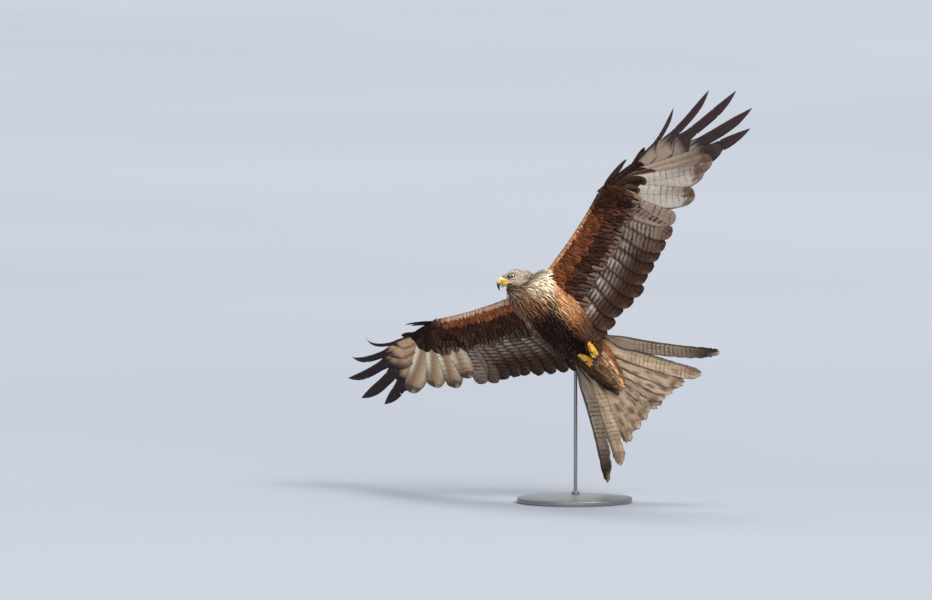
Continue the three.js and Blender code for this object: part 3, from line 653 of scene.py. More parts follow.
def primarySpec(wing, side, number):
    # number 0 is the innermost, and a fraction lies between two
    t = number / 9
    low, high, part = int(math.floor(number)), int(math.ceil(number)), number % 1
    share = float(smooth(0.15 + t * 1.3))
    out, forward, up = handAxes(wing, share)
    tips = primaries["tips"][side]
    tipAt = mix(np.array(tips[low], float), np.array(tips[high], float), part)
    rootAt = np.array([mix(8, primaries["handTip"][0] - 6, t), mix(-8, primaries["handTip"][1] - 6, t)])
    heading = math.atan2(tipAt[1] - rootAt[1], tipAt[0] - rootAt[0]) + math.pi / 2
    lead = out * math.cos(heading) + forward * math.sin(heading)
    root, tip = inHand(wing, *rootAt, 0, share), inHand(wing, *tipAt, share)
    notch = primaries["notches"][low]
    finger = notch < 1
    return vaneSpec(root, bowed(root, tip, up, lead, mix(-5, 12, t), -11 if finger else -2), tip, up, lead,
                    width=mix(primaries["widths"][low], primaries["widths"][high], part),
                    share=0.25 if finger else 0.36,
                    tilt=2.6 if finger else 4.0, notchAt=notch, notchLeft=primaries["fingers"][low],
                    curl=primaries["curl"][side][low], thick=0.9, number=number, camber=0.02 if finger else 0.04,
                    closing=primaries["closing"][low], slant=0.32 if notch > 1 else 0)


armFeathers = {"count": 10, "apart": 38.6, "elbow": 0.72, "first": {"left": 282, "right": 262},
               "outerRear": {"left": 233, "right": 234}, "innerRear": {"left": 204, "right": 250}}


def armSpec(wing, side, k):
    t = k / (armFeathers["count"] - 1)
    elbow = armFeathers["elbow"]
    if t < elbow:
        u, v = mix(286, 116, t / elbow), mix(-12, -44, t / elbow)
    else:
        u, v = mix(116, 20, (t - elbow) / (1 - elbow)), -46
    out, _, up = wing["arm"]
    tipAt = armFeathers["first"][side] - armFeathers["apart"] * k + shift(9)
    endV = -mix(armFeathers["outerRear"][side], armFeathers["innerRear"][side],
                float(band(-tipAt, -95, 35))) + shift(9)
    root, tip = inArm(wing, u, v), inArm(wing, tipAt, endV, -2)
    return vaneSpec(root, bowed(root, tip, up, out, -5, 3), tip, up, out, width=66, share=0.38, tilt=4.0, thick=0.8,
                    number=-1 - k, camber=0.03, closing=0.93, slant=0.24)


alula = {
    # tip out, forward and up from the wrist
    "left": [(109, 43, 5), (98, 37, 5), (86, 31, 6), (73, 26, 6)],
    "right": [(109, 57, 6), (97, 42, 6), (85, 34, 6), (72, 28, 6)],
    "widths": [15, 16, 16, 15], "tilt": {"left": -8, "right": -30},
}


def alulaSpecs(wing, side):
    _, forward, up = handAxes(wing, 1)
    specs = []
    for k, (u, v, h) in enumerate(alula[side]):
        root, tip = inHand(wing, 12 + 4 * k, 4 - 3 * k, 2), inHand(wing, u, v, h)
        specs.append(vaneSpec(root, bowed(root, tip, up, forward, 2, 5), tip, up, forward, width=alula["widths"][k],
                              share=0.34, tilt=alula["tilt"][side], thick=0.8, number=20 + k, closing=0.35))
    return specs


def mirrored(specs, mirror):
    if mirror > 0:
        return specs
    flip = np.array([1, -1, 1])
    turnedOver = ("root", "control", "tip", "upRoot", "upTip", "lead")
    return [{key: value * flip if key in turnedOver else value for key, value in spec.items()} for spec in specs]


def paintFlight(place):
    number = np.array([spec["number"] for spec in place["spec"]])[place["which"]]
    s, b, under = place["s"], place["b"], place["facing"] < 0
    n = len(s)
    tint = np.zeros((n, 3))
    bars, rim, broad = np.zeros(n), np.zeros(n), np.zeros(n)
    mark = np.tile(colours["blackBrown"], (n, 1))
    paint = lambda where, colour, amount: np.copyto(tint, mix(tint, colour, (amount * where)[:, None]))
    primary = (number >= 0) & (number < 15)
    arm = number < 0
    wobble = 0.02 * np.sin(place["lateral"] * 0.5 + number * 2.1) + 0.012 * np.sin(place["lateral"] * 1.7 + number)
    # fingers: cream at the base and black past the notch
    right = np.array([spec["root"][1] < 0 for spec in place["spec"]])[place["which"]]
    index = np.clip(number, 0, 9).astype(int)
    edge = np.where(right, np.array(primaries["windows"]["right"])[index],
                    np.array(primaries["windows"]["left"])[index])
    window = 1 - band(s + wobble, edge - 0.025, edge + 0.03)
    inner = (number < 4.5) & primary
    dusky = band(b, -0.2, 0.45)
    paint(primary, colours["fingerBlack"], 1.0)
    # the right hand's windows are warmer and brighter than the left's: painted light shining through the feathers
    paint(primary & ~inner, mix(colours["windowGrey"], colours["paintedBacklitWindow"], right[:, None]),
          window * np.where(number > 8.5, band(-b, -0.45, -0.15), 1))
    # the inner hand: cream with fine bars, dusky on the leading web and at the tips
    paint(inner & ((number < 3.5) | right), mix(colours["umber"], colours["dusk"], 0.4), 1.0)
    pale = mix(colours["greyWhite"] * 0.6, colours["windowGrey"] * 1.05, band(number, 2.2, 3.2)[:, None])
    # painted light: the webs' outer parts are whitened, warmer and stronger on the right hand, standing for light
    # shining through the feathers
    pale = mix(mix(pale, colours["paintedBacklitWindow"] * 0.75, right[:, None]),
               mix(colours["greyWhite"] * 0.85, colours["napeCream"] * 1.1, right[:, None]),
               (np.where(right, band(np.abs(b + 0.05), 0.3, 0.62), 0.2 * band(-b, 0.3, 0.8))
                * (1 - 0.7 * band(s, 0.66, 0.86)))[:, None])
    paint(inner, pale, window * mix(1, 0.4, dusky * band(s, 0.5, 0.85)))
    paint(inner, mix(colours["dusk"], colours["windowWhite"], 0.25), 0.85 * (1 - band(number, 0.2, 0.9)))
    bars = np.where(inner,
                    0.72 * band(s, 0.36, 0.5) * (1 - 0.7 * band(-b, 0.55, 0.9)) * mix(0.6, 1, band(b, -0.6, 0.1))
                    * mix(1, 0.25, band(number, 1.4, 3.2)) * np.where(number < 0.5, 1.3, 1),
                    np.where(primary, 0.1 * window, bars))
    broad = np.where(primary, 0.12, broad)
    # secondaries: dark brown with slanting bars, their inner webs whitish in patches near the base
    t = np.clip((-1 - number) / 9, 0, 1)
    grey = mix(colours["dusk"], colours["umber"],
               (0.15 + 0.55 * band(t, 0.05, 0.4) + 0.3 * band(t, 0.7, 0.9) * right)[:, None])
    # the right wing's secondaries are made brighter as painted light on that shaded underside; on the left they are
    # darker and redder outwards and brighter towards the body
    grey = grey * mix(np.array([0.76, 0.64, 0.66]), 1.9, np.where(right, 0.8, band(t, 0.7, 0.95))[:, None])
    paint(arm, grey, 1.0)
    patch = np.array([0.3, 0.2, 0.25, 0.5, 0.6, 0.35, 0.8, 0.45, 1.0, 0.6])[np.clip((-1 - number).astype(int), 0, 9)]
    patch = patch * np.where(right, 0.9, 1.0)
    blotch = band(np.sin(place["lateral"] * 0.21 + number * 1.7) + np.sin(s * 15 + number * 2.3), -0.5, 0.9)
    paint(arm, colours["greyWhite"], patch * band(-b, -0.1, 0.35) * (1 - band(s, 0.5, 0.74)) * (0.35 + 0.65 * blotch))
    paint(arm, colours["windowWhite"], 0.3 * (1 - band(t, 0.02, 0.2)) * (1 - band(s, 0.8, 0.95)))
    paint(arm, mix(colours["blackBrown"], colours["umber"], 0.3), 0.85 * band(s, 0.64, 0.8) * band(t, 0.02, 0.2))
    paint(arm, colours["blackBrown"], 0.3 * band(b, 0.1, 0.6))
    bars = np.where(arm, 0.97 - 0.45 * band(s, 0.78, 0.95), bars)
    broad = np.where(arm, 0.72, broad)
    # the cream rims on the inner primaries, stronger on the right hand, are partly worn edges and partly painted
    # light shining through
    rim = np.where(arm, 0.06 * band(s, 0.4, 0.9) * band(-b, 0, 0.5),
                   np.where(inner & (number > 0.5) & (right | (number < 3.5)),
                            (0.15 + 0.35 * right) * band(-b, 0, 0.4), 0.02))
    paint(number >= 15, colours["fingerBlack"], 1.0)
    # upper faces: dark brown, a little paler on the inner webs
    above = ~under
    shade = mix(colours["blackBrown"], colours["umber"], (0.3 + 0.25 * band(-b, 0, 0.8))[:, None])
    tint = np.where(above[:, None], mix(tint, shade, 0.88), tint)
    bars = np.where(above, bars * 0.5, bars)
    rim = np.where(above, 0.12, rim)
    return {"tint": tint, "mark": mark, "bars": bars, "rim": rim, "broad": broad}


for side in ("left", "right"):
    wing = wings[side]
    hands = [primarySpec(wing, side, k) for k in range(10)] + alulaSpecs(wing, side)
    vaneMesh(f"wing_{side}_hand_feathers", "flight", mirrored(hands, wing["mirror"]), paintFlight,
             cellPatches(len(hands)), handMaterial, (f"wing_{side}_hand",), wear=0.06)
    arms = [armSpec(wing, side, k) for k in range(armFeathers["count"])]
    vaneMesh(f"wing_{side}_arm_feathers", "flight", mirrored(arms, wing["mirror"]), paintFlight,
             cellPatches(len(arms)), armMaterial, (f"wing_{side}_arm",), wear=0.18)


tailFan = {
    # from the centre out: degrees from the middle line, length
    "left": [(4.0, 288), (9.7, 287), (15.2, 299), (20.9, 318), (27.7, 358), (38.2, 401)],
    "right": [(4.3, 277), (7.7, 284), (14.6, 296), (21.6, 311), (29.4, 363), (36.9, 398)],
}


def tailSpecs(side):
    sign = 1 if side == "left" else -1
    specs = []
    for k, (degrees, length) in enumerate(tailFan[side]):
        t = k / (tail["pairs"] - 1)
        fan = math.radians(degrees)
        lead = -tailBack * math.sin(fan) + tailLeft * sign * math.cos(fan)
        root = inTail(mix(20, 4, t), sign * mix(2.5, 54, t ** 1.2), 0)
        tip = inTail(length * math.cos(fan), sign * length * math.sin(fan), 0)
        specs.append(vaneSpec(root, bowed(root, tip, tailUp, lead, -3, mix(0, -10, t)), tip, tailUp, lead,
                              width=mix(56, 37, t ** 2), share=mix(0.45, 0.27, t), tilt=3.2, slant=0.12, thick=0.8,
                              number=k, camber=0.04, closing=mix(0.9, 0.84, t)))
    return specs


def paintTail(place):
    number = np.array([spec["number"] for spec in place["spec"]])[place["which"]] / 5
    s, b, under = place["s"], place["b"], place["facing"] < 0
    tone = (0.78 + 0.3 * chance.random(len(place["spec"])))[place["which"]]
    cloud = 0.5 + 0.25 * np.sin(place["lateral"] * 0.35 + 11 * number) + 0.25 * np.sin(s * 9 + 17 * number)
    sandy = mix(colours["greyBrown"], colours["sand"], (0.3 + 0.6 * band(-b, -0.3, 0.6))[:, None])
    sandy = mix(sandy, colours["windowWhite"], (0.35 * band(-b, 0.1, 0.9) * cloud * band(s, 0.2, 0.45))[:, None])
    sandy = mix(sandy, colours["tailRufous"],
                (0.14 * (1 - band(s, 0.1, 0.5)) * (1 - 0.7 * number) + 0.12 * band(s, 0.7, 0.95))[:, None])
    # grey outer pair, dark leading webs, a smudge before each frayed end
    sandy = mix(sandy, colours["tailGrey"], (0.75 * band(number, 0.82, 0.98))[:, None])
    dark = band(b, 0.0, 0.6) * mix(0.5, 1.0, band(number, 0.7, 1.0))
    blot = np.sin(s * 23 + number * 31) * np.sin(place["lateral"] * 0.24 + number * 13 + s * 5)
    dark = np.maximum(dark, 0.95 * band(blot, 0.2, 0.6) * (1 - band(number, 0.7, 0.9)))
    dark = np.maximum(dark, band(s, 0.8, 0.93) * mix(0.3, 0.95, band(number, 0.7, 1.0))
                      * (1 - 0.6 * band(s, 0.95, 1.0) * (number < 0.9)))
    dark = np.maximum(dark, 0.7 * band(-b, 0.72, 1.0) * (1 - number))
    dark = np.maximum(dark, 0.75 * np.exp(-((s - 0.9) / 0.035) ** 2 - ((b + 0.25) / 0.4) ** 2))
    pale = 0.32 * np.exp(-((b - 0.1) / 0.14) ** 2) * band(s, 0.1, 0.2)
    tint = mix(sandy * tone[:, None], colours["sandDark"], (dark * 0.95)[:, None])
    tint = mix(tint, colours["cream"], (pale * (1 - 0.8 * band(s, 0.8, 0.92)))[:, None])
    tint = tint * (1 - 0.78 * band(s, 0.58, 0.9) * band(number, 0.85, 1.0))[:, None]
    upper = mix(colours["tailRufous"], colours["umber"], (0.22 + 0.6 * dark)[:, None])
    tint = np.where(under[:, None], tint, upper)
    mark = np.tile(mix(colours["sandDark"], colours["blackBrown"], 0.4), (len(s), 1))
    bars = (np.where(under, 0.1 + 0.85 * band(number, 0.55, 0.85), 0.35)
            * band(s, 0.2, 0.4) * (1 - 0.6 * band(s, 0.85, 0.95)))
    return {"tint": tint, "mark": mark, "bars": bars, "rim": 0.25 * band(s, 0.3, 0.8) * band(-b, 0.0, 0.6),
            "broad": 0.12 + 0.3 * band(number, 0.8, 1.0)}


for side in ("left", "right"):
    quills = tailSpecs(side)
    vaneMesh(f"tail_{side}_feathers", "flight", quills, paintTail, cellPatches(len(quills)),
             tailMaterial, (f"tail_{side}",), wear=0.3, fray=0.045)


# the skin: one closed body inside the coat
def ringSolid(name, rings):
    # a circle that is extruded from ring to ring, with both ends closed
    deselect()
    sides = len(rings[0])
    bpy.ops.mesh.primitive_circle_add(vertices=sides, radius=0.01, fill_type="NGON")
    piece = bpy.context.object
    piece.name = name
    bpy.ops.object.mode_set(mode="EDIT")
    bpy.ops.mesh.select_mode(type="VERT")
    for step, ring in enumerate(rings):
        if step:
            bpy.ops.mesh.extrude_region_move()
        mesh = bmesh.from_edit_mesh(piece.data)
        mesh.verts.ensure_lookup_table()
        for vert, at in zip(sorted((v for v in mesh.verts if v.select), key=lambda v: v.index), banked(ring)):
            vert.co = at
        bmesh.update_edit_mesh(piece.data)
    bpy.ops.mesh.select_all(action="SELECT")
    bpy.ops.mesh.normals_make_consistent(inside=False)
    bpy.ops.object.mode_set(mode="OBJECT")
    return piece


def ovalRing(place, half, top, bottom, sides=28):
    return [place(math.cos(a) * half, math.sin(a) * (top if math.sin(a) > 0 else bottom)) for a in turnsOf(sides)]


def skinParts():
    parts = []
    coat = torso["coat"]
    rings = [ovalRing(lambda y, z, x=x: np.array([x, y, z - 4]), half - coat, back - coat, belly - coat)
             for x, half, back, belly in torso["rings"]]
    parts.append(ringSolid("skin torso", rings))
    rings = []
    for i, (centre, half, deep) in enumerate(neck["rings"]):
        heading = unit(mix(np.array([1.0, 0, 0]), headUp, max(0, i - 1) / (len(neck["rings"]) - 2)))
        out = unit(np.array([0, 1.0, 0]) - heading * heading[1])
        up = np.cross(heading, out)
        rings.append(ovalRing(lambda y, z, c=centre, o=out, p=up: np.array(c) + o * y + p * z,
                              half - neck["coat"], deep - neck["coat"], deep - neck["coat"]))
    parts.append(ringSolid("skin neck", rings))
    rings = []
    for x, half, top, bottom in head["rings"]:
        middle, deep = (top + bottom) / 2, (top - bottom) / 2
        rings.append(ovalRing(lambda y, z, x=x, m=middle: inHead(x, y, m + z), half - 1.2, deep - 1.2, deep - 1.2))
    parts.append(ringSolid("skin head", rings))
    for side in ("left", "right"):
        leg = thighs[side]
        hip, knee = np.array(leg["hip"], float), np.array(leg["knee"], float)
        along = unit(knee - hip)
        out = unit(np.array([0, 1.0, 0]) - along * along[1])
        up = np.cross(along, out)
        rings = []
        for k in range(9):
            t = k / 8
            radius = mix(12, 27, math.sin(math.pi * (0.18 + 0.8 * t)) ** 0.8) - thighs["coat"]
            rings.append(ovalRing(lambda y, z, c=mix(hip, knee, t), o=out, p=up: c + o * y + p * z,
                                  radius, radius, radius, 20))
        parts.append(ringSolid("skin thigh", rings))
        wing = wings[side]
        flip = np.array([1, wing["mirror"], 1])
        rings = [[p * flip for p in airfoil(lambda u, v, h: inArm(wing, u, v, h), row, 9, 1.4)]
                 for row in wings["armCore"]]
        parts.append(ringSolid("skin arm", rings))
        rings = [[p * flip for p in airfoil(lambda u, v, h: inHand(wing, u, v, h), row, 9, 0.9)]
                 for row in wings["handCore"]]
        parts.append(ringSolid("skin hand", rings))
    rings = []
    for x, half, high in ((-34, 10, 3), (-26, 24, 7), (-8, 44, 10), (8, 50, 10.5),
                          (24, 42, 8), (38, 26, 4), (42, 12, 2)):
        rings.append(ovalRing(lambda y, z, x=x: inTail(x + 8, y, z - 1), half, high, high))
    parts.append(ringSolid("skin tail block", rings))
    return parts


skin = joinedPiece(skinParts(), "skin")
modified(skin, "REMESH", mode="VOXEL", voxel_size=0.0026)
modified(skin, "SMOOTH", factor=0.6, iterations=6)
bpy.ops.object.mode_set(mode="EDIT")
bpy.ops.mesh.select_mode(type="FACE")
bpy.ops.mesh.select_all(action="DESELECT")
mesh = bmesh.from_edit_mesh(skin.data)
for face in mesh.faces:
    local = toHead(unbanked(np.array(face.calc_center_median())))
    face.select = local[0] > -16 and abs(local[2]) < 30 and abs(local[1]) < 30
bpy.ops.mesh.subdivide(number_cuts=1, smoothness=0.4)
bpy.ops.object.mode_set(mode="OBJECT")
faceForm = {"socketDepth": 13.0, "socket": 6.3, "brow": 2.4, "loreHollow": 1.2, "taper": 0.24}
local = toHead(placesOf(skin))
aside, side = np.abs(local[:, 1]), np.sign(local[:, 1])
fromEye = np.hypot(local[:, 0] - head["eyeForward"], local[:, 2] - head["eyeUp"])
onFace = band(local[:, 0], -14, -6) * band(aside, 6, 11)
push = faceForm["brow"] * np.exp(-((local[:, 0] - 9) / 8) ** 2 - ((local[:, 2] - 13.6) / 2.6) ** 2)
push -= faceForm["loreHollow"] * np.exp(-((local[:, 0] - 19) / 4.5) ** 2 - ((local[:, 2] - 1) / 5) ** 2)
push += 0.8 * np.exp(-((fromEye - 9.6) / 2.2) ** 2)
aside = aside + push * onFace
aside = aside * (1 - faceForm["taper"] * band(local[:, 0], 13, 28) * (1 - band(local[:, 2], 6, 14))
                 * (np.linalg.norm(local, axis=1) < 46))
aside = mix(aside, faceForm["socketDepth"],
            onFace * (1 - band(fromEye, faceForm["socket"] - 0.7, faceForm["socket"] + 1.2)))
local[:, 1] = side * aside
movePlaces(skin, head["at"] + local @ headAxes)
bpy.ops.object.shade_smooth()
print("skin:", len(skin.data.polygons), "faces")


# the lie of the coat: back along the bird's own line, from the bill to the tail
spine = np.array([inHead(34, 0, -2), inHead(14, 0, -3), inHead(-8, 1, -6), inHead(-16, 4, -22), (52, -14, -8),
                  (36, -5, -10), (10, 0, -8), (-60, 0, -8), (-150, 0, -6), (-230, 0, -2), (-300, 0, 12)])
spineDense = np.array([mix(spine[int(i)], spine[min(int(i) + 1, len(spine) - 1)], i % 1)
                       for i in np.linspace(0, len(spine) - 1.001, 120)])
for _ in range(12):
    spineDense[1:-1] = (spineDense[:-2] + spineDense[2:] + 2 * spineDense[1:-1]) / 4
spineHeading = unit(np.gradient(spineDense, axis=0))


def lieOf(points):
    gap = np.linalg.norm(points[:, None] - spineDense[None], axis=2)
    near = gap.min(axis=1, keepdims=True)
    weight = np.exp(-((gap - near) / 14) ** 2)
    return unit(weight @ spineHeading)


def headDistance(points):
    return np.linalg.norm(points - inHead(-6, 0, -6), axis=1)


def coatColour(points, normals):
    # the markings by place, with some painted light, used by the skin and by every small feather: base, mark, streak,
    # bars, rim
    local = toHead(points)
    n = len(points)
    x, y, z = points.T
    under = band(-normals[:, 2], -0.3, 0.3)
    headness = band(local[:, 0], -56, -30) * (1 - band(headDistance(points), 38, 60))
    tint = np.tile(mix(colours["rufous"], colours["umber"], 0.4), (n, 1))
    paint = lambda colour, amount: np.copyto(tint, mix(tint, colour, np.clip(amount, 0, 1)[:, None]))
    # belly: chocolate in the middle and to the rear, orange along the left flank, grey brown down the right side
    paint(mix(colours["rufous"], colours["orange"], 0.3), under)
    paint(colours["orange"], 0.9 * under * band(y, 14, 44))
    paint(mix(colours["peach"], colours["napeCream"], 0.25), 1.0 * band(x, -90, -30) * band(y, -6, 26) * under)
    paint(mix(colours["orange"], colours["peach"], 0.45),
          0.9 * band(y, 36, 58) * (1 - band(-x, 130, 190)) * band(-normals[:, 2], -0.5, 0.2))
    paint(mix(colours["tan"], colours["umber"], 0.25), 0.8 * band(-y, -6, 26) * band(x, -130, -40) * under)
    paint(colours["chocolate"],
          0.97 * band(-x, -22, 34) * (1 - band(y, 24, 50)) * (1 - 0.85 * band(-y, 46, 58)) * under)
    # the pale fringe down the right contour: partly the feathers' pale edges, partly a painted highlight where light
    # catches that edge
    paint(mix(colours["paintedRimLight"], colours["cream"], 0.5),
          0.95 * band(-y, 40, 56) * band(normals[:, 2], -0.95, -0.6) * band(-x, -40, 0) * under)
    front = band(x, 14, 50) * (1 - headness)
    paint(mix(colours["peach"], colours["napeCream"], 0.5), 0.8 * front * under * band(y, -34, 10))
    paint(mix(colours["greyBrown"], colours["greyWhite"], 0.3), 0.6 * front * band(-y, 6, 38))
    # painted light: the collar made cream where its faces turn forward and up, brightening a shaded spot at the base
    # of the neck
    paint(colours["napeCream"], band(x, 6, 28) * band(y, -8, 14) * band(normals.sum(axis=1), -0.6, 0.0))
    paint(colours["napeCream"], 0.8 * front * (1 - under))
    paint(mix(colours["orange"], colours["rufous"], 0.3),
          0.95 * band(y, 64, 74) * band(x, -60, -20) * band(-z, 4, 12))
    vent = band(-x, 176, 214)
    paint(mix(colours["olive"], colours["tan"], band(y, 6, 44)[:, None]), 0.6 * vent * under)
    paint(colours["greyWhite"],
          0.8 * np.exp(-(np.linalg.norm(points - np.array([-184, -15, -62]), axis=1) / 12) ** 2))
    # head: pale grey, cream on the cheek, darker at the throat, with a dark smudge before the eye
    crown = band(local[:, 2], -25, -11)
    face = mix(colours["throatGrey"], colours["headGrey"], (0.05 + 0.95 * crown)[:, None])
    face = mix(face, colours["napeCream"],
               (0.8 * band(np.abs(local[:, 1]), 13, 21) * band(-local[:, 2], -10, 4) * crown)[:, None])
    smudge = (1.5 * np.exp(-(((local[:, 0] - 16.5) / 6.0) ** 2 + ((local[:, 2] - 6.4) / 4.0) ** 2))
              * band(np.abs(local[:, 1]), 5, 9))
    smudge = np.maximum(smudge, 0.8 * np.exp(-(((local[:, 0] - 10) / 9) ** 2 + ((local[:, 2] - 12.5) / 1.7) ** 2))
                        * band(np.abs(local[:, 1]), 10, 14))
    face = mix(face, colours["lore"], np.minimum(1, 1.3 * smudge)[:, None])
    paint(face, headness)
    body = 1 - headness
    # redder along the belly; the left flank brightened at the front as painted sunlight, and darker towards the rear
    tint *= mix(np.ones(3), np.array([1.02, 0.87, 0.8]), (under * body * (1 - front))[:, None])
    flank = (band(y, 26, 50) * band(-normals[:, 2], -0.5, 0.2) * body)[:, None]
    tint *= mix(1, mix(np.array([1.62, 1.85, 1.95]), 0.3, band(-x, 20, 128)[:, None]), flank)
    streak = body * under * mix(0.46, 0.85, band(-x, -24, 40) * (1 - band(y, 20, 50)))
    streak = (streak * (1 - 0.45 * band(y, 44, 64)) * (1 - 0.75 * front * band(y, -20, 10))
              + 0.42 * body * (1 - under) * (1 - 0.8 * front))
    throat = headness * (1 - crown)
    streak = streak * (1 - 0.75 * vent) + 0.1 * headness + 0.4 * throat
    rim = (body * (0.06 + 0.4 * front + 0.5 * band(-y, 44, 68) * under + 0.25 * band(y, 46, 62))
           + 0.1 * headness + 0.3 * throat)
    mark = mix(np.tile(colours["streakBlack"], (n, 1)),
               mix(colours["throatGrey"] * 0.4, colours["dusk"], crown[:, None]), headness[:, None])
    return {"tint": tint, "mark": mark, "streak": streak, "bars": np.zeros(n), "rim": rim}


skinAt, skinNormal = placesOf(skin), leaningsOf(skin)
skin.data.calc_loop_triangles()
skinFaces = [list(t.vertices) for t in skin.data.loop_triangles]
skinTree = BVHTree.FromPolygons([Vector(p) for p in skinAt], skinFaces)
rgba = np.ones((len(skinAt), 4), np.float32)
rgba[:, :3] = coatColour(skinAt, skinNormal)["tint"] * 0.7
skin.data.attributes.new("tint", "FLOAT_COLOR", "POINT").data.foreach_set("color", rgba.ravel())
skinMaterial, tree, shader = nodeTree("skin under the coat", 0.8, Specular_IOR_Level=0.2)
down = noise(tree, 420, 5)
colour = blended(tree, ramped(tree, down, 0.3, 0.8), attribute(tree, "tint").outputs["Color"], colours["streakBlack"])
tree.links.new(blended(tree, 0.55, attribute(tree, "tint").outputs["Color"], colour), shader.inputs["Base Color"])
bumped(tree, shader, down, 0.6, 0.001)
skin.data.materials.clear()
skin.data.materials.append(skinMaterial)
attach(skin, "root")
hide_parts("torso", "neck", "head", "thigh_left", "thigh_right")


# body, neck and head feathers, set on the skin
def surfaceAt(point):
    at, normal = skinTree.find_nearest(Vector(point))[:2]
    return np.array(at), np.array(normal)


coats = {
    # spacing across and its stretch along the lie, length, width, height of the tip over the skin
    "head": {"spacing": 2.5, "stretch": 1.8, "length": 11.5, "width": 3.7, "lift": 1.0},
    "neck": {"spacing": 4.5, "stretch": 2.0, "length": 31, "width": 7.6, "lift": 6.0},
    "belly": {"spacing": 7.4, "stretch": 2.0, "length": 44, "width": 11.6, "lift": 3.8},
    "back": {"spacing": 8.6, "stretch": 1.5, "length": 38, "width": 16.0, "lift": 3.4},
}


def isWing(points):
    # places on the arm's or hand's core, away from the body
    aside = np.abs(points[:, 1])
    return ((aside > 84) | ((aside > 66) & (points[:, 0] > 34))
            | ((aside > 72) & (points[:, 2] > 20) & (points[:, 0] > -110)))


def scatter(spacing, stretch, keep, seed):
    # places on the skin at about one spacing from one another, and further apart along the lie
    dice = np.random.default_rng(seed)
    corners = np.array([face[:3] for face in skinFaces])
    a, b, c = skinAt[corners[:, 0]], skinAt[corners[:, 1]], skinAt[corners[:, 2]]
    normal = unit(np.cross(b - a, c - a))
    good = np.nonzero(keep((a + b + c) / 3, normal))[0]
    area = np.linalg.norm(np.cross(b[good] - a[good], c[good] - a[good]), axis=1)
    tries = int(area.sum() / (spacing ** 2 * stretch) * 12) + 50
    pick = good[dice.choice(len(good), tries, p=area / area.sum())]
    r1, r2 = np.sqrt(dice.random(tries)), dice.random(tries)
    points = (1 - r1)[:, None] * a[pick] + (r1 * (1 - r2))[:, None] * b[pick] + (r1 * r2)[:, None] * c[pick]
    lie = lieOf(points)
    size, squeeze, limit = spacing * stretch, 1 - 1 / stretch ** 2, spacing ** 2
    cells, kept = {}, []
    for point, flow in zip(points.tolist(), lie.tolist()):
        key = (int(point[0] // size), int(point[1] // size), int(point[2] // size))
        clear = True
        for dx in (-1, 0, 1):
            for dy in (-1, 0, 1):
                for dz in (-1, 0, 1):
                    for other in cells.get((key[0] + dx, key[1] + dy, key[2] + dz), ()):
                        gx, gy, gz = point[0] - other[0], point[1] - other[1], point[2] - other[2]
                        alongLie = gx * flow[0] + gy * flow[1] + gz * flow[2]
                        if gx * gx + gy * gy + gz * gz - squeeze * alongLie * alongLie < limit:
                            clear = False
        if clear:
            cells.setdefault(key, []).append(point)
            kept.append(point)
    return np.array(kept)


def fluffed(point):
    # how much further the feathers stand out: along the right flank, on the throat and on the nape
    x, y, z = point
    flank = 11 * float(band(-y, 42, 68) * band(-x, -10, 40) * (1 - band(-x, 190, 225)) * band(-z, -30, 0))
    throat = 11 * float(band(x, -10, 24) * band(-y, 26, 44) * band(-z, 0, 16) * (1 - band(x, 66, 80)))
    return flank + throat + 8 * float(band(x, 22, 36) * band(y, -20, 4) * band(z, -4, 10) * (1 - band(x, 62, 76)))


def coatSpecs(points, coat, dice):
    specs = []
    lie = lieOf(points)
    for point, flow in zip(points, lie):
        root, n0 = surfaceAt(point)
        flow = flow + (dice.random(3) - 0.5) * 0.16
        flow = flow - n0 * flow.dot(n0)
        if np.linalg.norm(flow) < 0.25:
            continue
        flow = unit(flow)
        armpit = float(band(abs(root[1]), 52, 72) * band(root[0], -30, 0))
        length = coat["length"] * (0.88 + 0.24 * dice.random()) * (1 - 0.45 * armpit)
        lift = (coat["lift"] * (0.85 + 0.5 * dice.random()) + fluffed(root)) * (1 - 0.8 * armpit)
        mid, n1 = surfaceAt(root + flow * length * 0.5)
        tip, n2 = surfaceAt(root + flow * length)
        if n1.dot(n0) < 0.2:
            continue
        start = root + n0 * 0.2
        middle = mid + n1 * lift * 0.62
        end = tip + n2 * lift if n2.dot(n0) > 0.1 else root + flow * length + n0 * lift
        specs.append({"root": start, "tip": end, "control": 2 * middle - (start + end) / 2,
                      "upRoot": unit(n0 + n1), "upTip": unit(n1 + n2),
                      "lead": np.cross(n0, flow), "width": coat["width"] * (0.85 + 0.3 * dice.random()), "thick": 0.5,
                      "camber": 0.25, "normal": n0, "closing": 0.3})
    return specs


def paintCoat(place):
    roots = np.array([spec["root"] for spec in place["spec"]])
    normals = np.array([spec["normal"] for spec in place["spec"]])
    looks = coatColour(roots, normals)
    vary = 0.66 + 0.7 * chance.random((len(roots), 1))
    which = place["which"]
    return {"tint": (looks["tint"] * vary)[which], "mark": looks["mark"][which], "bars": looks["bars"][which],
            "rim": looks["rim"][which], "streak": looks["streak"][which]}


def unwrapPlaces(points):
    # along the spine and round it
    gap = np.linalg.norm(points[:, None] - spineDense[None], axis=2)
    near = gap.argmin(axis=1)
    off = points - spineDense[near]
    return np.stack([near / (len(spineDense) - 1), np.arctan2(off[:, 2], off[:, 1]) / (2 * math.pi) + 0.5], 1)


def notFace(points):
    local = toHead(points)
    eye = np.minimum(np.linalg.norm(local - [7.3, 20, 5.1], axis=1), np.linalg.norm(local - [7.3, -20, 5.1], axis=1))
    billBase = np.where(local[:, 2] > 5, 29, 23)
    lips = (local[:, 2] < -7.5) & (local[:, 2] > -18.5) & (local[:, 0] > 10) & (np.abs(local[:, 1]) > 8)
    return (eye > 8.6) & (local[:, 0] < billBase) & ~lips


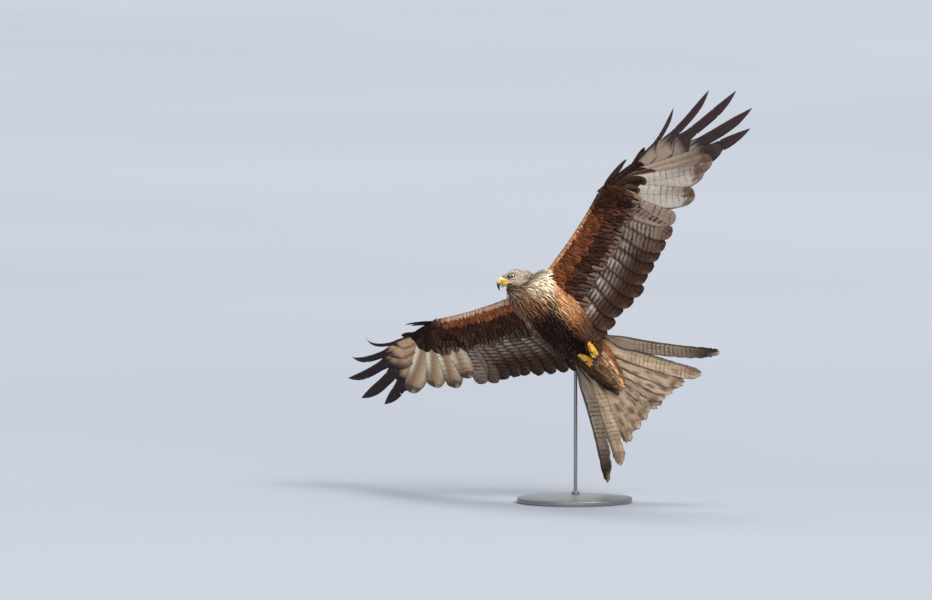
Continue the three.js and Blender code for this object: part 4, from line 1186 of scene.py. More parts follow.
regions = {
    "head": lambda p, n: (headDistance(p) < 40) & notFace(p) & (p[:, 0] > 48),
    "neck": lambda p, n: (((headDistance(p) >= 38) | (p[:, 0] <= 48)) & (p[:, 0] > 22)
                          & ~((toHead(p)[:, 0] > 4) & (toHead(p)[:, 2] > -26)) & ~isWing(p)),
    "belly": lambda p, n: (p[:, 0] <= 26) & ~isWing(p) & (p[:, 0] > -226) & (n[:, 2] < 0.25),
    "back": lambda p, n: (p[:, 0] <= 26) & ~isWing(p) & (p[:, 0] > -250) & (n[:, 2] >= 0.15),
}
for index, (region, keep) in enumerate(regions.items()):
    coat = coats[region]
    places = scatter(coat["spacing"], coat["stretch"], keep, 70 + index)
    specs = coatSpecs(places, coat, np.random.default_rng(90 + index))
    material, slotName = (headMaterial, "head_plumage") if region == "head" else (bodyMaterial, "body_plumage")
    vaneMesh(f"coat_{region}", "contour", specs, paintCoat,
             spotPatches(unwrapPlaces(np.array([s["root"] for s in specs]))), material, wear=0.35)


# wing coverts in tiers, on both faces
def paintCovert(place):
    specs = place["spec"]
    which, s = place["which"], place["s"]
    get = lambda key: np.array([spec[key] for spec in specs])
    tint, mark = get("tint")[which], get("mark")[which]
    swing = np.where(get("streak") > 0, 0.85, 0.35)[:, None]
    tint = tint * (1 - 0.6 * swing + swing * chance.random((len(specs), 1)) ** 1.4)[which]
    paleTip = get("paleTip")[which] * band(s, 0.78, 0.95)
    tint = mix(tint, colours["cream"], paleTip[:, None])
    return {"tint": tint, "mark": mark, "streak": get("streak")[which], "bars": get("bars")[which],
            "rim": get("rim")[which]}


tiers = {
    # face, root and tip behind the leading edge, count, width, lift at the tip, look
    "arm": [
        (-1, 28, 128, 14, 36, 2.4, "greaterUnder"),
        (-1, 20, 108, 15, 33, 3.8, "medianUnder"),
        (-1, 14, 90, 18, 29, 4.6, "medianUnder"),
        (-1, 10, 72, 24, 23, 5.0, "lesserUnderDark"),
        (-1, 6, 58, 32, 17, 4.9, "lesserUnder"),
        (-1, 3, 48, 36, 15, 4.5, "lesserUnder"),
        (-1, 1, 38, 40, 13, 4.0, "lesserUnder"),
        (-1, 0, 29, 44, 12, 3.4, "lesserUnder"),
        (-1, 0, 20, 46, 11, 2.8, "lesserUnder"),
        (-1, 0, 11, 56, 9, 2.0, "marginal"),
        (1, 30, 126, 20, 30, 6.5, "greaterUpper"),
        (1, 18, 94, 24, 26, 5.6, "medianUpper"),
        (1, 12, 76, 27, 22, 5.2, "lesserUpper"),
        (1, 7, 60, 32, 18, 5.0, "lesserUpper"),
        (1, 3, 48, 36, 16, 4.6, "lesserUpper"),
        (1, 1, 37, 40, 14, 4.0, "lesserUpper"),
        (1, 0, 27, 42, 12, 3.2, "lesserUpper"),
        (1, 0, 18, 46, 11, 2.4, "marginal"),
        (1, 0, 11, 50, 10, 1.8, "marginal"),
    ],
    "hand": [
        (-1, 92, 9, 38, 4.0, "primaryUnder"),
        (-1, 68, 11, 30, 5.0, "medianHand"),
        (-1, 52, 14, 22, 5.8, "medianHand"),
        (-1, 38, 16, 17, 6.2, "lesserHand"),
        (1, 106, 12, 27, 4.0, "primaryUpper"),
        (1, 78, 15, 21, 5.0, "primaryUpper"),
        (1, 56, 17, 17, 5.6, "primaryUpper"),
    ],
}


def look(first, second, share, mark, streak, bars, rim, paleTip):
    return {"tint": mix(colours[first], colours[second], share), "mark": colours[mark], "streak": streak,
            "bars": bars, "rim": rim, "paleTip": paleTip}


covertLooks = {
    "greaterUnder": look("dusk", "umber", 0.6, "streakBlack", 0.2, 0.95, 0.0, 0.0),
    "medianUnder": look("chocolate", "umber", 0.3, "streakBlack", 0.2, 0.3, 0.0, 0.0),
    "lesserUnderDark": look("chocolate", "rufous", 0.1, "streakBlack", 0.2, 0.3, 0.0, 0.0),
    "lesserUnder": look("rufous", "umber", 0.14, "chocolate", 0.2, 0.9, 0.0, 0.0),
    "medianHand": look("streakBlack", "chocolate", 0.4, "streakBlack", 0.4, 0.1, 0.04, 0.0),
    "lesserHand": look("streakBlack", "chocolate", 0.7, "streakBlack", 0.4, 0.2, 0.04, 0.0),
    # the marginals' share of pale buff is a painted highlight along the wing's leading edge
    "marginal": look("orange", "paintedRimLight", 0.45, "rufous", 0.0, 0.4, 0.1, 0.1),
    "primaryUnder": look("blackBrown", "umber", 0.35, "streakBlack", 0.3, 0.2, 0.04, 0.0),
    "greaterUpper": look("umber", "chocolate", 0.5, "streakBlack", 0.3, 0.1, 0.08, 0.3),
    "medianUpper": look("buff", "rufous", 0.5, "chocolate", 0.6, 0.0, 0.08, 0.2),
    "lesserUpper": look("rufous", "umber", 0.3, "blackBrown", 0.5, 0.0, 0.08, 0.0),
    "primaryUpper": look("blackBrown", "umber", 0.3, "streakBlack", 0.3, 0.0, 0.05, 0.0),
    "tailUpper": look("tailRufous", "rufous", 0.4, "chocolate", 0.2, 0.0, 0.3, 0.1),
    "tailUnder": look("olive", "tan", 0.3, "chocolate", 0.25, 0.0, 0.0, 0.0),
}


def armTier(wing, tier):
    face, rootBack, tipBack, count, width, height, kind = tier
    out, _, up = wing["arm"]
    onLeft = wing["mirror"] > 0
    specs = []
    for k in range(count):
        u = mix(302 + (18 if tipBack > 60 and face < 0 else 0), -6, (k + shift(0.7)) / (count - 1))
        lead = rowAt(wings["armCore"], u)[0]
        # a deeper core near the body takes the tiers further back
        deep = mix(0.92, 1.08, 1 - u / 298)
        start = lead - 0.5 - rootBack * deep
        end = lead - (tipBack + shift(7)) * deep + 1
        lift = height + shift(1.2)
        slant = 0.16 * (start - end) + shift(7)
        at = lambda v, raised, du=0: inArm(wing, u + du, v, face * (coreHalf(wings["armCore"], u, v) + raised))
        root, tip = at(start, -1.2), at(end, lift, slant)
        middle = at((start + end) / 2, lift * 0.6, slant / 2)
        shown, tint = dict(covertLooks[kind]), covertLooks[kind]["tint"]
        # near the body the left wing's underside marginals turn rufous; on the right wing they are mixed with cream,
        # a painted highlight along the leading edge
        if face < 0 and kind == "marginal":
            tint = mix(tint, colours["rufous"], 0.8 * (u < 26)) if onLeft else mix(tint, colours["cream"], 0.38)
        if face < 0 and kind in ("lesserUnder", "marginal"):
            # the rufous gives way to dark brown towards the wrist, and is a narrower belt on the right wing
            ends, belt = (206, 80) if onLeft else (246, 44)
            dark = max(float(band(u + shift(24), ends, ends + 60)), float(tipBack > belt))
            tint = mix(tint, colours["blackBrown"], 0.94 * dark)
        # painted light: the underside coverts are made 1.5 times brighter, and the right wing's lesser underside
        # coverts 2.1 times, to stand for light on these shaded faces
        if face < 0 and kind != "marginal" and not (onLeft and kind == "lesserUnder"):
            tint = tint * (2.1 if kind == "lesserUnder" else 1.5)
        shown["tint"] = tint
        specs.append(vaneSpec(root, middle, tip, up * face, out, width=width * (1 + shift(0.24)), tilt=4.0 * face,
                              thick=0.6, camber=0.16, closing=0.62, place=(u / 320, tipBack / 130, face), **shown))
    return specs


def handTier(wing, side, tier):
    face, length, count, width, lift, kind = tier
    specs = []
    for k in range(count):
        number = min(9, max(0, 9 * (k + shift(0.4)) / (count - 1)))
        slim = float(band(number, 6.4, 9))
        quill = primarySpec(wing, side, number)
        up, toTip = quill["upRoot"], unit(quill["tip"] - quill["root"])
        reach = length * mix(0.95, 1.02, number / 6) * (1 + shift(0.2)) * mix(1, 0.62, slim)
        if side == "left" and face < 0:
            # the dark patch reaches further over the middle primaries
            reach *= 1 + 0.45 * float(band(number, 1.6, 3.4) * (1 - band(number, 6, 7.6)))
        sway = quill["lead"] * shift(5)
        root = quill["root"] + up * face * 2 - toTip * 4
        tip = quill["root"] + toTip * reach + up * face * lift + sway
        middle = (root + tip) / 2 + up * face * 2.5
        specs.append(vaneSpec(root, middle, tip, up * face, quill["lead"],
                              width=width * (1 + shift(0.2)) * mix(1, 0.5, slim),
                              tilt=4.0 * face, thick=0.6, camber=0.14, closing=0.6,
                              place=(number / 9, length / 120, face), **covertLooks[kind]))
    return specs


def wingPlaces(specs):
    return [(0.48 * s["place"][0] + (0.51 if s["place"][2] > 0 else 0), s["place"][1]) for s in specs]


def handMarginals(wing):
    # small feathers over the hand's core and its leading edge
    specs, core = [], wings["handCore"]
    _, forward, up = handAxes(wing, 1)
    for face in (-1, 1):
        for row, (back, length) in enumerate(((0, 20), (8, 24), (17, 28), (26, 30))):
            count = 22 - 2 * row
            for k in range(count):
                u = mix(-4, 112, (k + 0.5 * (row % 2)) / count)
                lead, rear = rowAt(core, u)[:2]
                v = max(rear + 2, lead - 0.5 - back)
                high = lambda du, dv: coreHalf(core, min(u + du, 118), max(rear, v + dv))
                at = lambda du, dv, raised: inHand(wing, u + du, v + dv, face * (high(du, dv) + raised))
                root, tip = at(0, 0, -0.6), at(length * 0.72, -length * 0.68, 2.6)
                middle = at(length * 0.36, -length * 0.34, 1.4)
                shown = dict(covertLooks["lesserHand"])
                shown["tint"] = mix(shown["tint"], colours["rufous"], 0.15 * (1 - float(band(u, 0, 30))))
                specs.append(vaneSpec(root, middle, tip, up * face, forward, width=12 + 1.5 * row, tilt=3 * face,
                                      thick=0.5, camber=0.2, place=((u + 6) / 130, 0.2 + 0.15 * row, face), **shown))
    return specs


for side in ("left", "right"):
    wing = wings[side]
    specs = [spec for tier in tiers["arm"] for spec in armTier(wing, tier)]
    vaneMesh(f"wing_{side}_arm_coverts", "covert", mirrored(specs, wing["mirror"]), paintCovert,
             spotPatches(wingPlaces(specs)), covertMaterial, wear=0.15)
    specs = [spec for tier in tiers["hand"] for spec in handTier(wing, side, tier)] + handMarginals(wing)
    vaneMesh(f"wing_{side}_hand_coverts", "covert", mirrored(specs, wing["mirror"]), paintCovert,
             spotPatches(wingPlaces(specs)), covertMaterial, wear=0.15)


# tail coverts
tailCoverts = [
    # face, reach, height, count, width, share of the tail's fan, look
    (1, 96, 7, 14, 28, 0.8, "tailUpper"),
    (1, 66, 9, 14, 25, 0.8, "tailUpper"),
    (1, 38, 11, 14, 22, 0.8, "tailUpper"),
    (-1, 170, 8, 7, 20, 0.14, "tailUnder"),
    (-1, 154, 11, 9, 20, 0.2, "tailUnder"),
    (-1, 138, 13.5, 11, 19, 0.28, "tailUnder"),
    (-1, 120, 15.5, 13, 18, 0.36, "tailUnder"),
    (-1, 100, 17, 15, 17, 0.46, "tailUnder"),
    (-1, 80, 18, 17, 16, 0.58, "tailUnder"),
    (-1, 60, 18, 19, 15, 0.72, "tailUnder"),
    (-1, 42, 17, 20, 15, 0.85, "tailUnder"),
]
specs = []
for face, length, height, count, width, share, kind in tailCoverts:
    for k in range(count):
        t = 2 * k / (count - 1) - 1 + shift(0.1)
        fan = tail["halfFan"] * share * t * 0.9 - (0 if face > 0 else math.radians(7))
        reach = length * (1 - 0.14 * t * t) * (1 + shift(0.14))
        spread = 42 if face > 0 else mix(26, 42, share)
        root = inTail(2, spread * t, face * (4 + 3 * (1 - t * t)))
        inward = mix(0.6, 0.34, float(band(length, 60, 170))) if face < 0 else 0.6
        tip = inTail(reach * math.cos(fan), inward * spread * t + reach * math.sin(fan),
                     face * (height * (1 - 0.55 * t * t)))
        middle = (root + tip) / 2 + tailUp * face * 4
        shown = dict(covertLooks[kind])
        if face < 0:
            # tan beside the middle as a painted highlight, rufous at the left edge, and dark down the right as
            # painted shadow
            shown["tint"] = mix(shown["tint"], colours["tan"],
                                0.8 * float(band(t, 0.05, 0.4) * (1 - band(t, 0.55, 0.8))))
            shown["tint"] = mix(shown["tint"], colours["rufous"], 0.75 * float(band(t, 0.5, 0.75)))
            shown["tint"] = mix(shown["tint"], colours["blackBrown"], 0.85 * float(band(-t, 0.0, 0.6)))
        specs.append(vaneSpec(root, middle, tip, tailUp * face, tailLeft * (1 if t >= 0 else -1),
                              width=width * (1 + shift(0.2)), tilt=3.0 * face, thick=0.6, camber=0.16,
                              place=(t / 2 + 0.5, length / 140, face), **shown))
vaneMesh("tail_coverts", "covert", specs, paintCovert, spotPatches(wingPlaces(specs)), covertMaterial,
         wear=0.15)

# bill, cere and mouth
def smoothPiece(piece, levels=2):
    choose(piece)
    modified(piece, "SUBSURF", levels=levels, render_levels=levels)
    bpy.ops.object.shade_smooth()
    return piece


def remeshed(piece, voxel, rounds):
    choose(piece)
    modified(piece, "REMESH", mode="VOXEL", voxel_size=voxel)
    modified(piece, "SMOOTH", factor=0.5, iterations=rounds)
    bpy.ops.object.shade_smooth()
    return piece


def tinted(piece, colour, material, slotName, *replaced):
    rgba = np.ones((len(piece.data.vertices), 4), np.float32)
    rgba[:, :3] = colour
    piece.data.attributes.new("tint", "FLOAT_COLOR", "POINT").data.foreach_set("color", rgba.ravel())
    piece.data.materials.clear()
    piece.data.materials.append(material)
    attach(piece, "root")
    if replaced:
        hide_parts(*replaced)
    return piece


def horny(name, roughness, grain, strength, coat=0.0, speckle=0.25):
    # tinted skin or horn with a fine grain
    material, tree, shader = nodeTree(name, roughness, Specular_IOR_Level=0.5, Coat_Weight=coat, Coat_Roughness=0.12)
    grainNoise = noise(tree, grain, 4)
    shade = maths(tree, "MULTIPLY_ADD", grainNoise, speckle * 2, 1 - speckle)
    tree.links.new(shaded(tree, attribute(tree, "tint").outputs["Color"], shade), shader.inputs["Base Color"])
    bumped(tree, shader, grainNoise, strength, 0.0006)
    return material


bill = {
    # centre forward and up, half width, half depth, degrees that the section is turned down
    "upper": [(16, -4, 14.5, 6.0, 0), (22, -4, 15.6, 6.8, 0), (26, -3.2, 13.6, 8.2, 0), (30, -1.6, 11.0, 9.6, 3),
              (34, -0.4, 8.6, 10.0, 7),
              (38, -0.2, 6.9, 9.4, 14), (42, -1.8, 5.7, 8.4, 25), (45.6, -5.2, 4.5, 6.8, 43),
              (47.8, -10.4, 3.3, 5.0, 64),
              (48.7, -16.2, 2.2, 3.2, 80), (48.7, -21.8, 1.1, 1.6, 90), (48.2, -25.6, 0.3, 0.4, 96)],
    "lower": [(14, -14.5, 13, 4.0), (20, -14.8, 11.5, 3.9), (27, -15.2, 8.6, 3.6), (34, -15.8, 6.0, 3.0),
              (39.5, -16.4, 3.8, 2.1), (42, -16.2, 1.4, 1.0)],
    "yellow": hue(226, 186, 86), "paleYellow": hue(234, 208, 138), "deepYellow": hue(198, 148, 56),
    "horn": hue(122, 112, 106), "hornTip": hue(44, 40, 44), "nostril": (37.2, -0.4),
    "lipUpper": [(36, 7.0, -8.6, 2.6), (31, 10.6, -8.8, 3.3), (26, 13.4, -9.4, 3.4), (20, 16.4, -10.4, 3.1),
                 (14.5, 18.8, -11.6, 2.4), (11, 20.0, -12.9, 1.4), (9.4, 20.4, -13.6, 0.7)],
    "lipLower": [(36, 6.6, -14.2, 2.2), (31, 9.8, -14.9, 2.7), (26, 12.6, -15.5, 2.9), (20, 15.6, -16.0, 2.7),
                 (14.5, 18.2, -15.8, 2.0), (11, 19.7, -14.9, 1.2), (9.4, 20.3, -14.2, 0.6)],
}
billMaterial = horny("bill horn and cere", 0.32, 260, 0.12, coat=0.15, speckle=0.1)
rings = []
for x, z, half, high, turn in bill["upper"]:
    turn = math.radians(turn)
    ring = []
    for a in turnsOf(24):
        # a narrow ridge along the top and a sharp cutting edge below
        y = math.cos(a) * half * (1 - 0.16 * max(0, math.sin(a)) ** 2)
        rise = math.sin(a) * high * (1 if math.sin(a) > 0 else 1 - 0.22 * abs(math.cos(a)))
        ring.append(inHead(x + rise * math.sin(turn), y, z + rise * math.cos(turn)))
    rings.append(ring)
upperBill = smoothPiece(ringSolid("bill_upper_horn", rings), 2)
at = placesOf(upperBill)
local = toHead(at)
aside = np.abs(local[:, 1])
fromNostril = np.hypot((local[:, 0] - bill["nostril"][0]) / 2.8 + (local[:, 2] - bill["nostril"][1]) * 0.12,
                       (local[:, 2] - bill["nostril"][1]) / 1.6)
hole = (1 - band(fromNostril, 0.45, 1.05)) * (aside > 2)
swell = 0.5 * np.exp(-((fromNostril - 1.7) / 0.7) ** 2) * (aside > 2)
# yellow cere and sides, paler towards the top as a painted highlight, darker horn down the hook
hooked = band((local[:, 0] - 38) * 0.55 + (-local[:, 2] - 2) * 0.62 + 0.3 * np.sin(local[:, 2] * 0.9), 3.6, 7.6)
ridge = band(local[:, 2], 6.5, 9.5) * band(local[:, 0], 33, 37) * (1 - band(aside, 1.5, 4))
local[:, 1] = np.sign(local[:, 1]) * (aside * (1 + 0.04 * (1 - hooked)) - 2.2 * hole + swell)
movePlaces(upperBill, head["at"] + local @ headAxes)
deep = band(-local[:, 2] + 0.35 * (local[:, 0] - 38), 4, 14)
colour = mix(bill["horn"], bill["hornTip"], deep[:, None])
yellowPaintedHighlight = mix(bill["yellow"], bill["paleYellow"], band(local[:, 2], -4, 6)[:, None])
colour = mix(yellowPaintedHighlight, colour, hooked[:, None])
colour = mix(colour, bill["horn"] * 1.6, (0.55 * ridge)[:, None])
colour = mix(colour, hue(26, 20, 14), (0.95 * hole)[:, None])
tinted(upperBill, colour, billMaterial, "bill", "bill_upper")

rings = [ovalRing(lambda y, z, x=x, m=z0: inHead(x, y, m + z), half, deep, deep, 20)
         for x, z0, half, deep in bill["lower"]]
lowerBill = smoothPiece(ringSolid("bill_lower_horn", rings), 2)
local = toHead(placesOf(lowerBill))
colour = mix(np.tile(bill["yellow"], (len(local), 1)), bill["horn"] * 1.3, 0.7 * band(local[:, 0], 32, 40)[:, None])
tinted(lowerBill, colour, billMaterial, "bill", "bill_lower")


def tubeRings(points, radii, sides=16, steps=30, flat=1.0):
    # rings along a smooth path through a few points
    points, radii = np.array(points, float), np.array(radii, float)
    t = np.linspace(0, len(points) - 1, steps)
    i = np.clip(t.astype(int), 0, len(points) - 2)
    f = (t - i)[:, None]
    before, after = points[np.maximum(i - 1, 0)], points[np.minimum(i + 2, len(points) - 1)]
    m0, m1 = (points[i + 1] - before) / 2, (after - points[i]) / 2
    path = ((2 * f ** 3 - 3 * f ** 2 + 1) * points[i] + (f ** 3 - 2 * f ** 2 + f) * m0
            + (-2 * f ** 3 + 3 * f ** 2) * points[i + 1] + (f ** 3 - f ** 2) * m1)
    radius = np.interp(t, range(len(radii)), radii)
    ahead = unit(np.gradient(path, axis=0))
    out = unit(np.cross(ahead[0], (0.31, 0.52, 0.79)))
    rings = []
    for centre, heading, r in zip(path, ahead, radius):
        out = unit(out - heading * np.dot(out, heading))
        up = np.cross(heading, out)
        rings.append([centre + r * (math.cos(a) * out + flat * math.sin(a) * up) for a in turnsOf(sides)])
    return rings


for side, sign in (("left", 1), ("right", -1)):
    for which, tone in (("lipUpper", "yellow"), ("lipLower", "deepYellow")):
        lip = ringSolid(f"{which}_{side}", tubeRings([inHead(x, sign * y, z) for x, y, z, r in bill[which]],
                                                     [r for *_, r in bill[which]], 14, 24))
        lip = smoothPiece(lip, 1)
        local = toHead(placesOf(lip))
        tinted(lip, mix(bill[tone], bill["paleYellow"], (0.35 + 0.3 * np.sin(local[:, 0]))[:, None]), billMaterial,
               "bill")
print("bill made")

# eyes and lids
eyes = {"pupil": 29, "iris": 62, "irisPale": hue(252, 248, 234), "irisDeep": hue(236, 222, 184),
        "rim": hue(16, 13, 12), "forwardLook": 0.28}
eyeMaterial, tree, shader = nodeTree("eye", 0.08, Specular_IOR_Level=0.35, Coat_Weight=0.3, Coat_Roughness=0.02)
gaze = attribute(tree, "gaze").outputs["Vector"]
fromSight = axesOf(tree, gaze)[0]  # degrees from where the eye looks
rays = noise(tree, 3.0, 4, gaze)
pale = blended(tree, ramped(tree, fromSight, eyes["pupil"] + 1, eyes["iris"]), eyes["irisDeep"], eyes["irisPale"])
pale = blended(tree, maths(tree, "MULTIPLY", ramped(tree, rays, 0.35, 0.7), 0.4), pale, eyes["irisDeep"])
ringed = blended(tree, ramped(tree, fromSight, eyes["iris"] - 3, eyes["iris"] + 2), pale, eyes["rim"])
seen = blended(tree, ramped(tree, fromSight, eyes["pupil"] - 1.2, eyes["pupil"] + 1.2), (0.004, 0.004, 0.005), ringed)
tree.links.new(seen, shader.inputs["Base Color"])
lidMaterial = horny("bare lid skin", 0.5, 500, 0.3, speckle=0.2)
for side, sign in (("left", 1), ("right", -1)):
    centre = inHead(head["eyeForward"], sign * head["eyeOut"], head["eyeUp"])
    sight = unit(sign * headLeft + eyes["forwardLook"] * head["forward"])
    deselect()
    bpy.ops.mesh.primitive_uv_sphere_add(segments=64, ring_count=40, radius=head["eyeRadius"] * 0.001,
                                         location=banked(centre))
    ball = bpy.context.object
    ball.name = f"eyeball_{side}"
    bpy.ops.object.transform_apply(location=True, rotation=True, scale=True)
    bpy.ops.object.shade_smooth()
    at = placesOf(ball)
    spoke = unit(at - centre)
    angle = np.degrees(np.arccos(np.clip(spoke @ sight, -1, 1)))
    movePlaces(ball, at + spoke * (0.55 * (1 - band(angle, 20, 58)))[:, None])
    up = unit(headUp - sight * np.dot(headUp, sight))
    around = np.arctan2(spoke @ up, spoke @ np.cross(sight, up))
    vector = np.stack([angle, np.cos(around) * 5, np.sin(around) * 5], 1).astype(np.float32)
    ball.data.attributes.new("gaze", "FLOAT_VECTOR", "POINT").data.foreach_set("vector", vector.ravel())
    ball.data.materials.clear()
    ball.data.materials.append(eyeMaterial)
    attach(ball, "root")
    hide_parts(f"eye_{side}")
    # the lids: one ring of bare skin that lies on the ball, flatter above, with a fold round it
    rings = []
    for a in turnsOf(48):
        wide, high = 7.1, 6.6 if math.sin(a) > 0 else 6.8
        flatTop = min(math.sin(a) * high, 5.7 + 0.3 * math.cos(a))
        off = math.cos(a) * wide * np.cross(up, sight) + flatTop * up
        outward = math.sqrt(max(0, (head["eyeRadius"] + 0.5) ** 2 - float(np.dot(off, off))))
        rings.append((centre + off + sight * outward, unit(off)))
    lidRings = []
    for middle, away in rings:
        lidRings.append([middle + 1.1 * math.cos(b) * away + 0.75 * math.sin(b) * sight for b in turnsOf(10)])
    deselect()
    bpy.ops.mesh.primitive_torus_add(major_segments=48, minor_segments=10, major_radius=0.006, minor_radius=0.001,
                                     location=(0, 0, 0))
    lid = bpy.context.object
    lid.name = f"lids_{side}"
    lid.data.vertices.foreach_set("co", banked(np.array(lidRings).reshape(-1, 3)).astype(np.float32).ravel())
    bpy.ops.object.mode_set(mode="EDIT")
    bpy.ops.mesh.select_all(action="SELECT")
    bpy.ops.mesh.normals_make_consistent(inside=False)
    bpy.ops.object.mode_set(mode="OBJECT")
    lid = smoothPiece(lid, 1)
    tinted(lid, hue(17, 14, 13), lidMaterial, "eye")
print("eyes made")

# feet and claws
feet = {
    "left": {"heel": (-172, 38, -50), "toes": (-228, 34, -62)},
    "right": {"heel": (-188, -12, -52), "toes": (-240, 12, -63)},
    # side, share of the way where the toe starts, length, radius, hind toe
    "toeSpecs": [(-8.5, 0.42, 34, 4.6, False), (0, 0.4, 40, 5.0, False), (8.5, 0.42, 33, 4.6, False),
                 (2, 0.5, 24, 4.8, True)],
    "yellow": hue(234, 180, 56), "shade": hue(176, 116, 34), "claw": hue(38, 34, 36), "clawBase": hue(86, 78, 74),
}
footMaterial, tree, shader = nodeTree("scaled foot skin", 0.45, Specular_IOR_Level=0.45, Coat_Weight=0.1,
                                      Coat_Roughness=0.3)
scales = tree.nodes.new("ShaderNodeTexVoronoi")
scales.inputs["Scale"].default_value = 620
tree.links.new(objectPlace(tree), scales.inputs["Vector"])
cracks = ramped(tree, scales.outputs["Distance"], 0.35, 0.75)
creases = ramped(tree, noise(tree, 160, 4), 0.35, 0.65)
yellow = blended(tree, maths(tree, "MULTIPLY", cracks, 0.65), attribute(tree, "tint").outputs["Color"], feet["shade"])
tree.links.new(blended(tree, maths(tree, "MULTIPLY", creases, 0.22), yellow, hue(240, 200, 90)),
               shader.inputs["Base Color"])
bumped(tree, shader, maths(tree, "SUBTRACT", 1, cracks), 0.7, 0.0008)
clawMaterial = horny("claw horn", 0.24, 380, 0.1, coat=0.3, speckle=0.15)


def toeCurve(spec, side, at, length, hind):
    heel, toes = np.array(spec["heel"], float), np.array(spec["toes"], float)
    back = unit(toes - heel)
    out = unit(np.array([0, 1.0, 0]) - back * back[1])
    down = np.cross(back, out)
    down = -down if down[2] > 0 else down
    start = mix(heel, toes, at) + out * side * 0.45 + (down * 4 if hind else 0)
    middle = start + back * length * 0.7 + out * side * 0.55 + down * (9 if hind else 3)
    end = start + back * length * (0.6 if hind else 0.98) + out * side * 0.35 + down * (12 if hind else 11)
    curve = [(1 - t) ** 2 * start + 2 * t * (1 - t) * middle + t ** 2 * end for t in np.linspace(0, 1, 7)]
    return curve, unit(end - middle), down


for side in ("left", "right"):
    spec = feet[side]
    heel, toes = np.array(spec["heel"], float), np.array(spec["toes"], float)
    pieces = [ringSolid("shank", tubeRings([heel, mix(heel, toes, 0.2), mix(heel, toes, 0.42)],
                                           [6.2, 5.6, 6.6], 16, 14)),
              ringSolid("pad", tubeRings([mix(heel, toes, 0.34), mix(heel, toes, 0.56), mix(heel, toes, 0.8)],
                                         [5.6, 9.4, 6.0], 16, 10, 0.85))]
    for k, (offset, at, length, radius, hind) in enumerate(feet["toeSpecs"]):
        curve, heading, down = toeCurve(spec, offset, at, length, hind)
        swollen = [radius * (1 + 0.13 * math.cos(2 * math.pi * 2.5 * t)) * mix(1, 0.8, t)
                   for t in np.linspace(0, 1, 7)]
        pieces.append(ringSolid("toe", tubeRings(curve, swollen, 14, 24)))
        end = curve[-1]
        nail = [end - heading * 2, end + heading * 3.5, end + heading * 7 + down * 2.2,
                end + heading * 8.2 + down * 6, end + heading * 6.6 + down * 9.6]
        claw = smoothPiece(ringSolid(f"claw_{side}_{k + 1}_horn",
                                     tubeRings(nail, [3.0, 2.7, 2.0, 1.1, 0.2], 12, 14)), 1)
        reachOut = np.linalg.norm(placesOf(claw) - end, axis=1)
        tinted(claw, mix(feet["clawBase"], feet["claw"], band(reachOut, 1.5, 5)[:, None]), clawMaterial, "claw_horn",
               f"claw_{side}_{k + 1}")
    whole = remeshed(joinedPiece(pieces, f"foot_{side}_skin"), 0.0009, 4)
    along = unit(toes - heel)
    at = placesOf(whole)
    shank = (at - heel) @ along / np.linalg.norm(toes - heel)
    scutes = 0.22 * np.sin((at - heel) @ along * 1.9) * (1 - band(shank, 0.7, 0.9))
    movePlaces(whole, at + leaningsOf(whole) * scutes[:, None])
    tinted(whole, np.tile(feet["yellow"], (len(at), 1)), footMaterial, "foot_skin", f"foot_{side}")
print("feet made")

# stand
stand = {"radius": 0.160, "height": 0.014, "bevel": 0.0022, "rod": 0.005, "bend": 42.0,
         "socket": (-148, 4, 36), "collar": 0.011, "collarHeight": 0.008, "collarBevel": 0.0012,
         # how far each of the disc's grooves is set in, and how deep it goes
         "insets": ((0.012, 0), (0.0012, -0.0008), (0.0012, 0.0008))}
steelMaterial, tree, shader = nodeTree("brushed steel", 0.34, Metallic=0.9)
grain = tree.nodes.new("ShaderNodeMapping")
grain.inputs["Scale"].default_value = (6, 6, 900)
tree.links.new(objectPlace(tree), grain.inputs["Vector"])
brush = noise(tree, 1.5, 3, grain.outputs[0])
tree.links.new(blended(tree, brush, (0.20, 0.21, 0.225), (0.34, 0.35, 0.365)), shader.inputs["Base Color"])
tree.links.new(maths(tree, "MULTIPLY_ADD", brush, 0.2, 0.26), shader.inputs["Roughness"])
bumped(tree, shader, brush, 0.08, 0.0004)
discMaterial, tree, shader = nodeTree("turned steel", 0.36, Metallic=0.9)
acrossX, acrossY, upright = axesOf(tree, objectPlace(tree))
square = lambda value: maths(tree, "MULTIPLY", value, value)
outwards = maths(tree, "SQRT", maths(tree, "ADD", square(acrossX), square(acrossY)))
brush = noise(tree, 900, 3, vectorOf(tree, outwards, upright))
cloud = noise(tree, 14, 3)
tree.links.new(blended(tree, brush, (0.20, 0.21, 0.225), (0.32, 0.33, 0.345)), shader.inputs["Base Color"])
tree.links.new(maths(tree, "MULTIPLY_ADD", cloud, 0.2, 0.27), shader.inputs["Roughness"])
bumped(tree, shader, brush, 0.1, 0.0004)

deselect()
bpy.ops.mesh.primitive_cylinder_add(vertices=160, radius=stand["radius"], depth=stand["height"],
                                    location=(0, 0, stand["height"] / 2))
disc = bpy.context.object
disc.name = "stand_disc"
bpy.ops.object.transform_apply(location=True, rotation=True, scale=True)
bpy.ops.object.mode_set(mode="EDIT")
bpy.ops.mesh.select_mode(type="FACE")
bpy.ops.mesh.select_all(action="DESELECT")
mesh = bmesh.from_edit_mesh(disc.data)
for polygon in mesh.faces:
    polygon.select = polygon.normal.z > 0.9
for thickness, depth in stand["insets"]:
    bpy.ops.mesh.inset(thickness=thickness, depth=depth)
bpy.ops.object.mode_set(mode="OBJECT")
modified(disc, "BEVEL", width=stand["bevel"], segments=3, angle_limit=math.radians(60))
bpy.ops.object.shade_smooth_by_angle(angle=math.radians(32))
disc.data.materials.append(discMaterial)
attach(disc, "root")
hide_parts("stand_base")

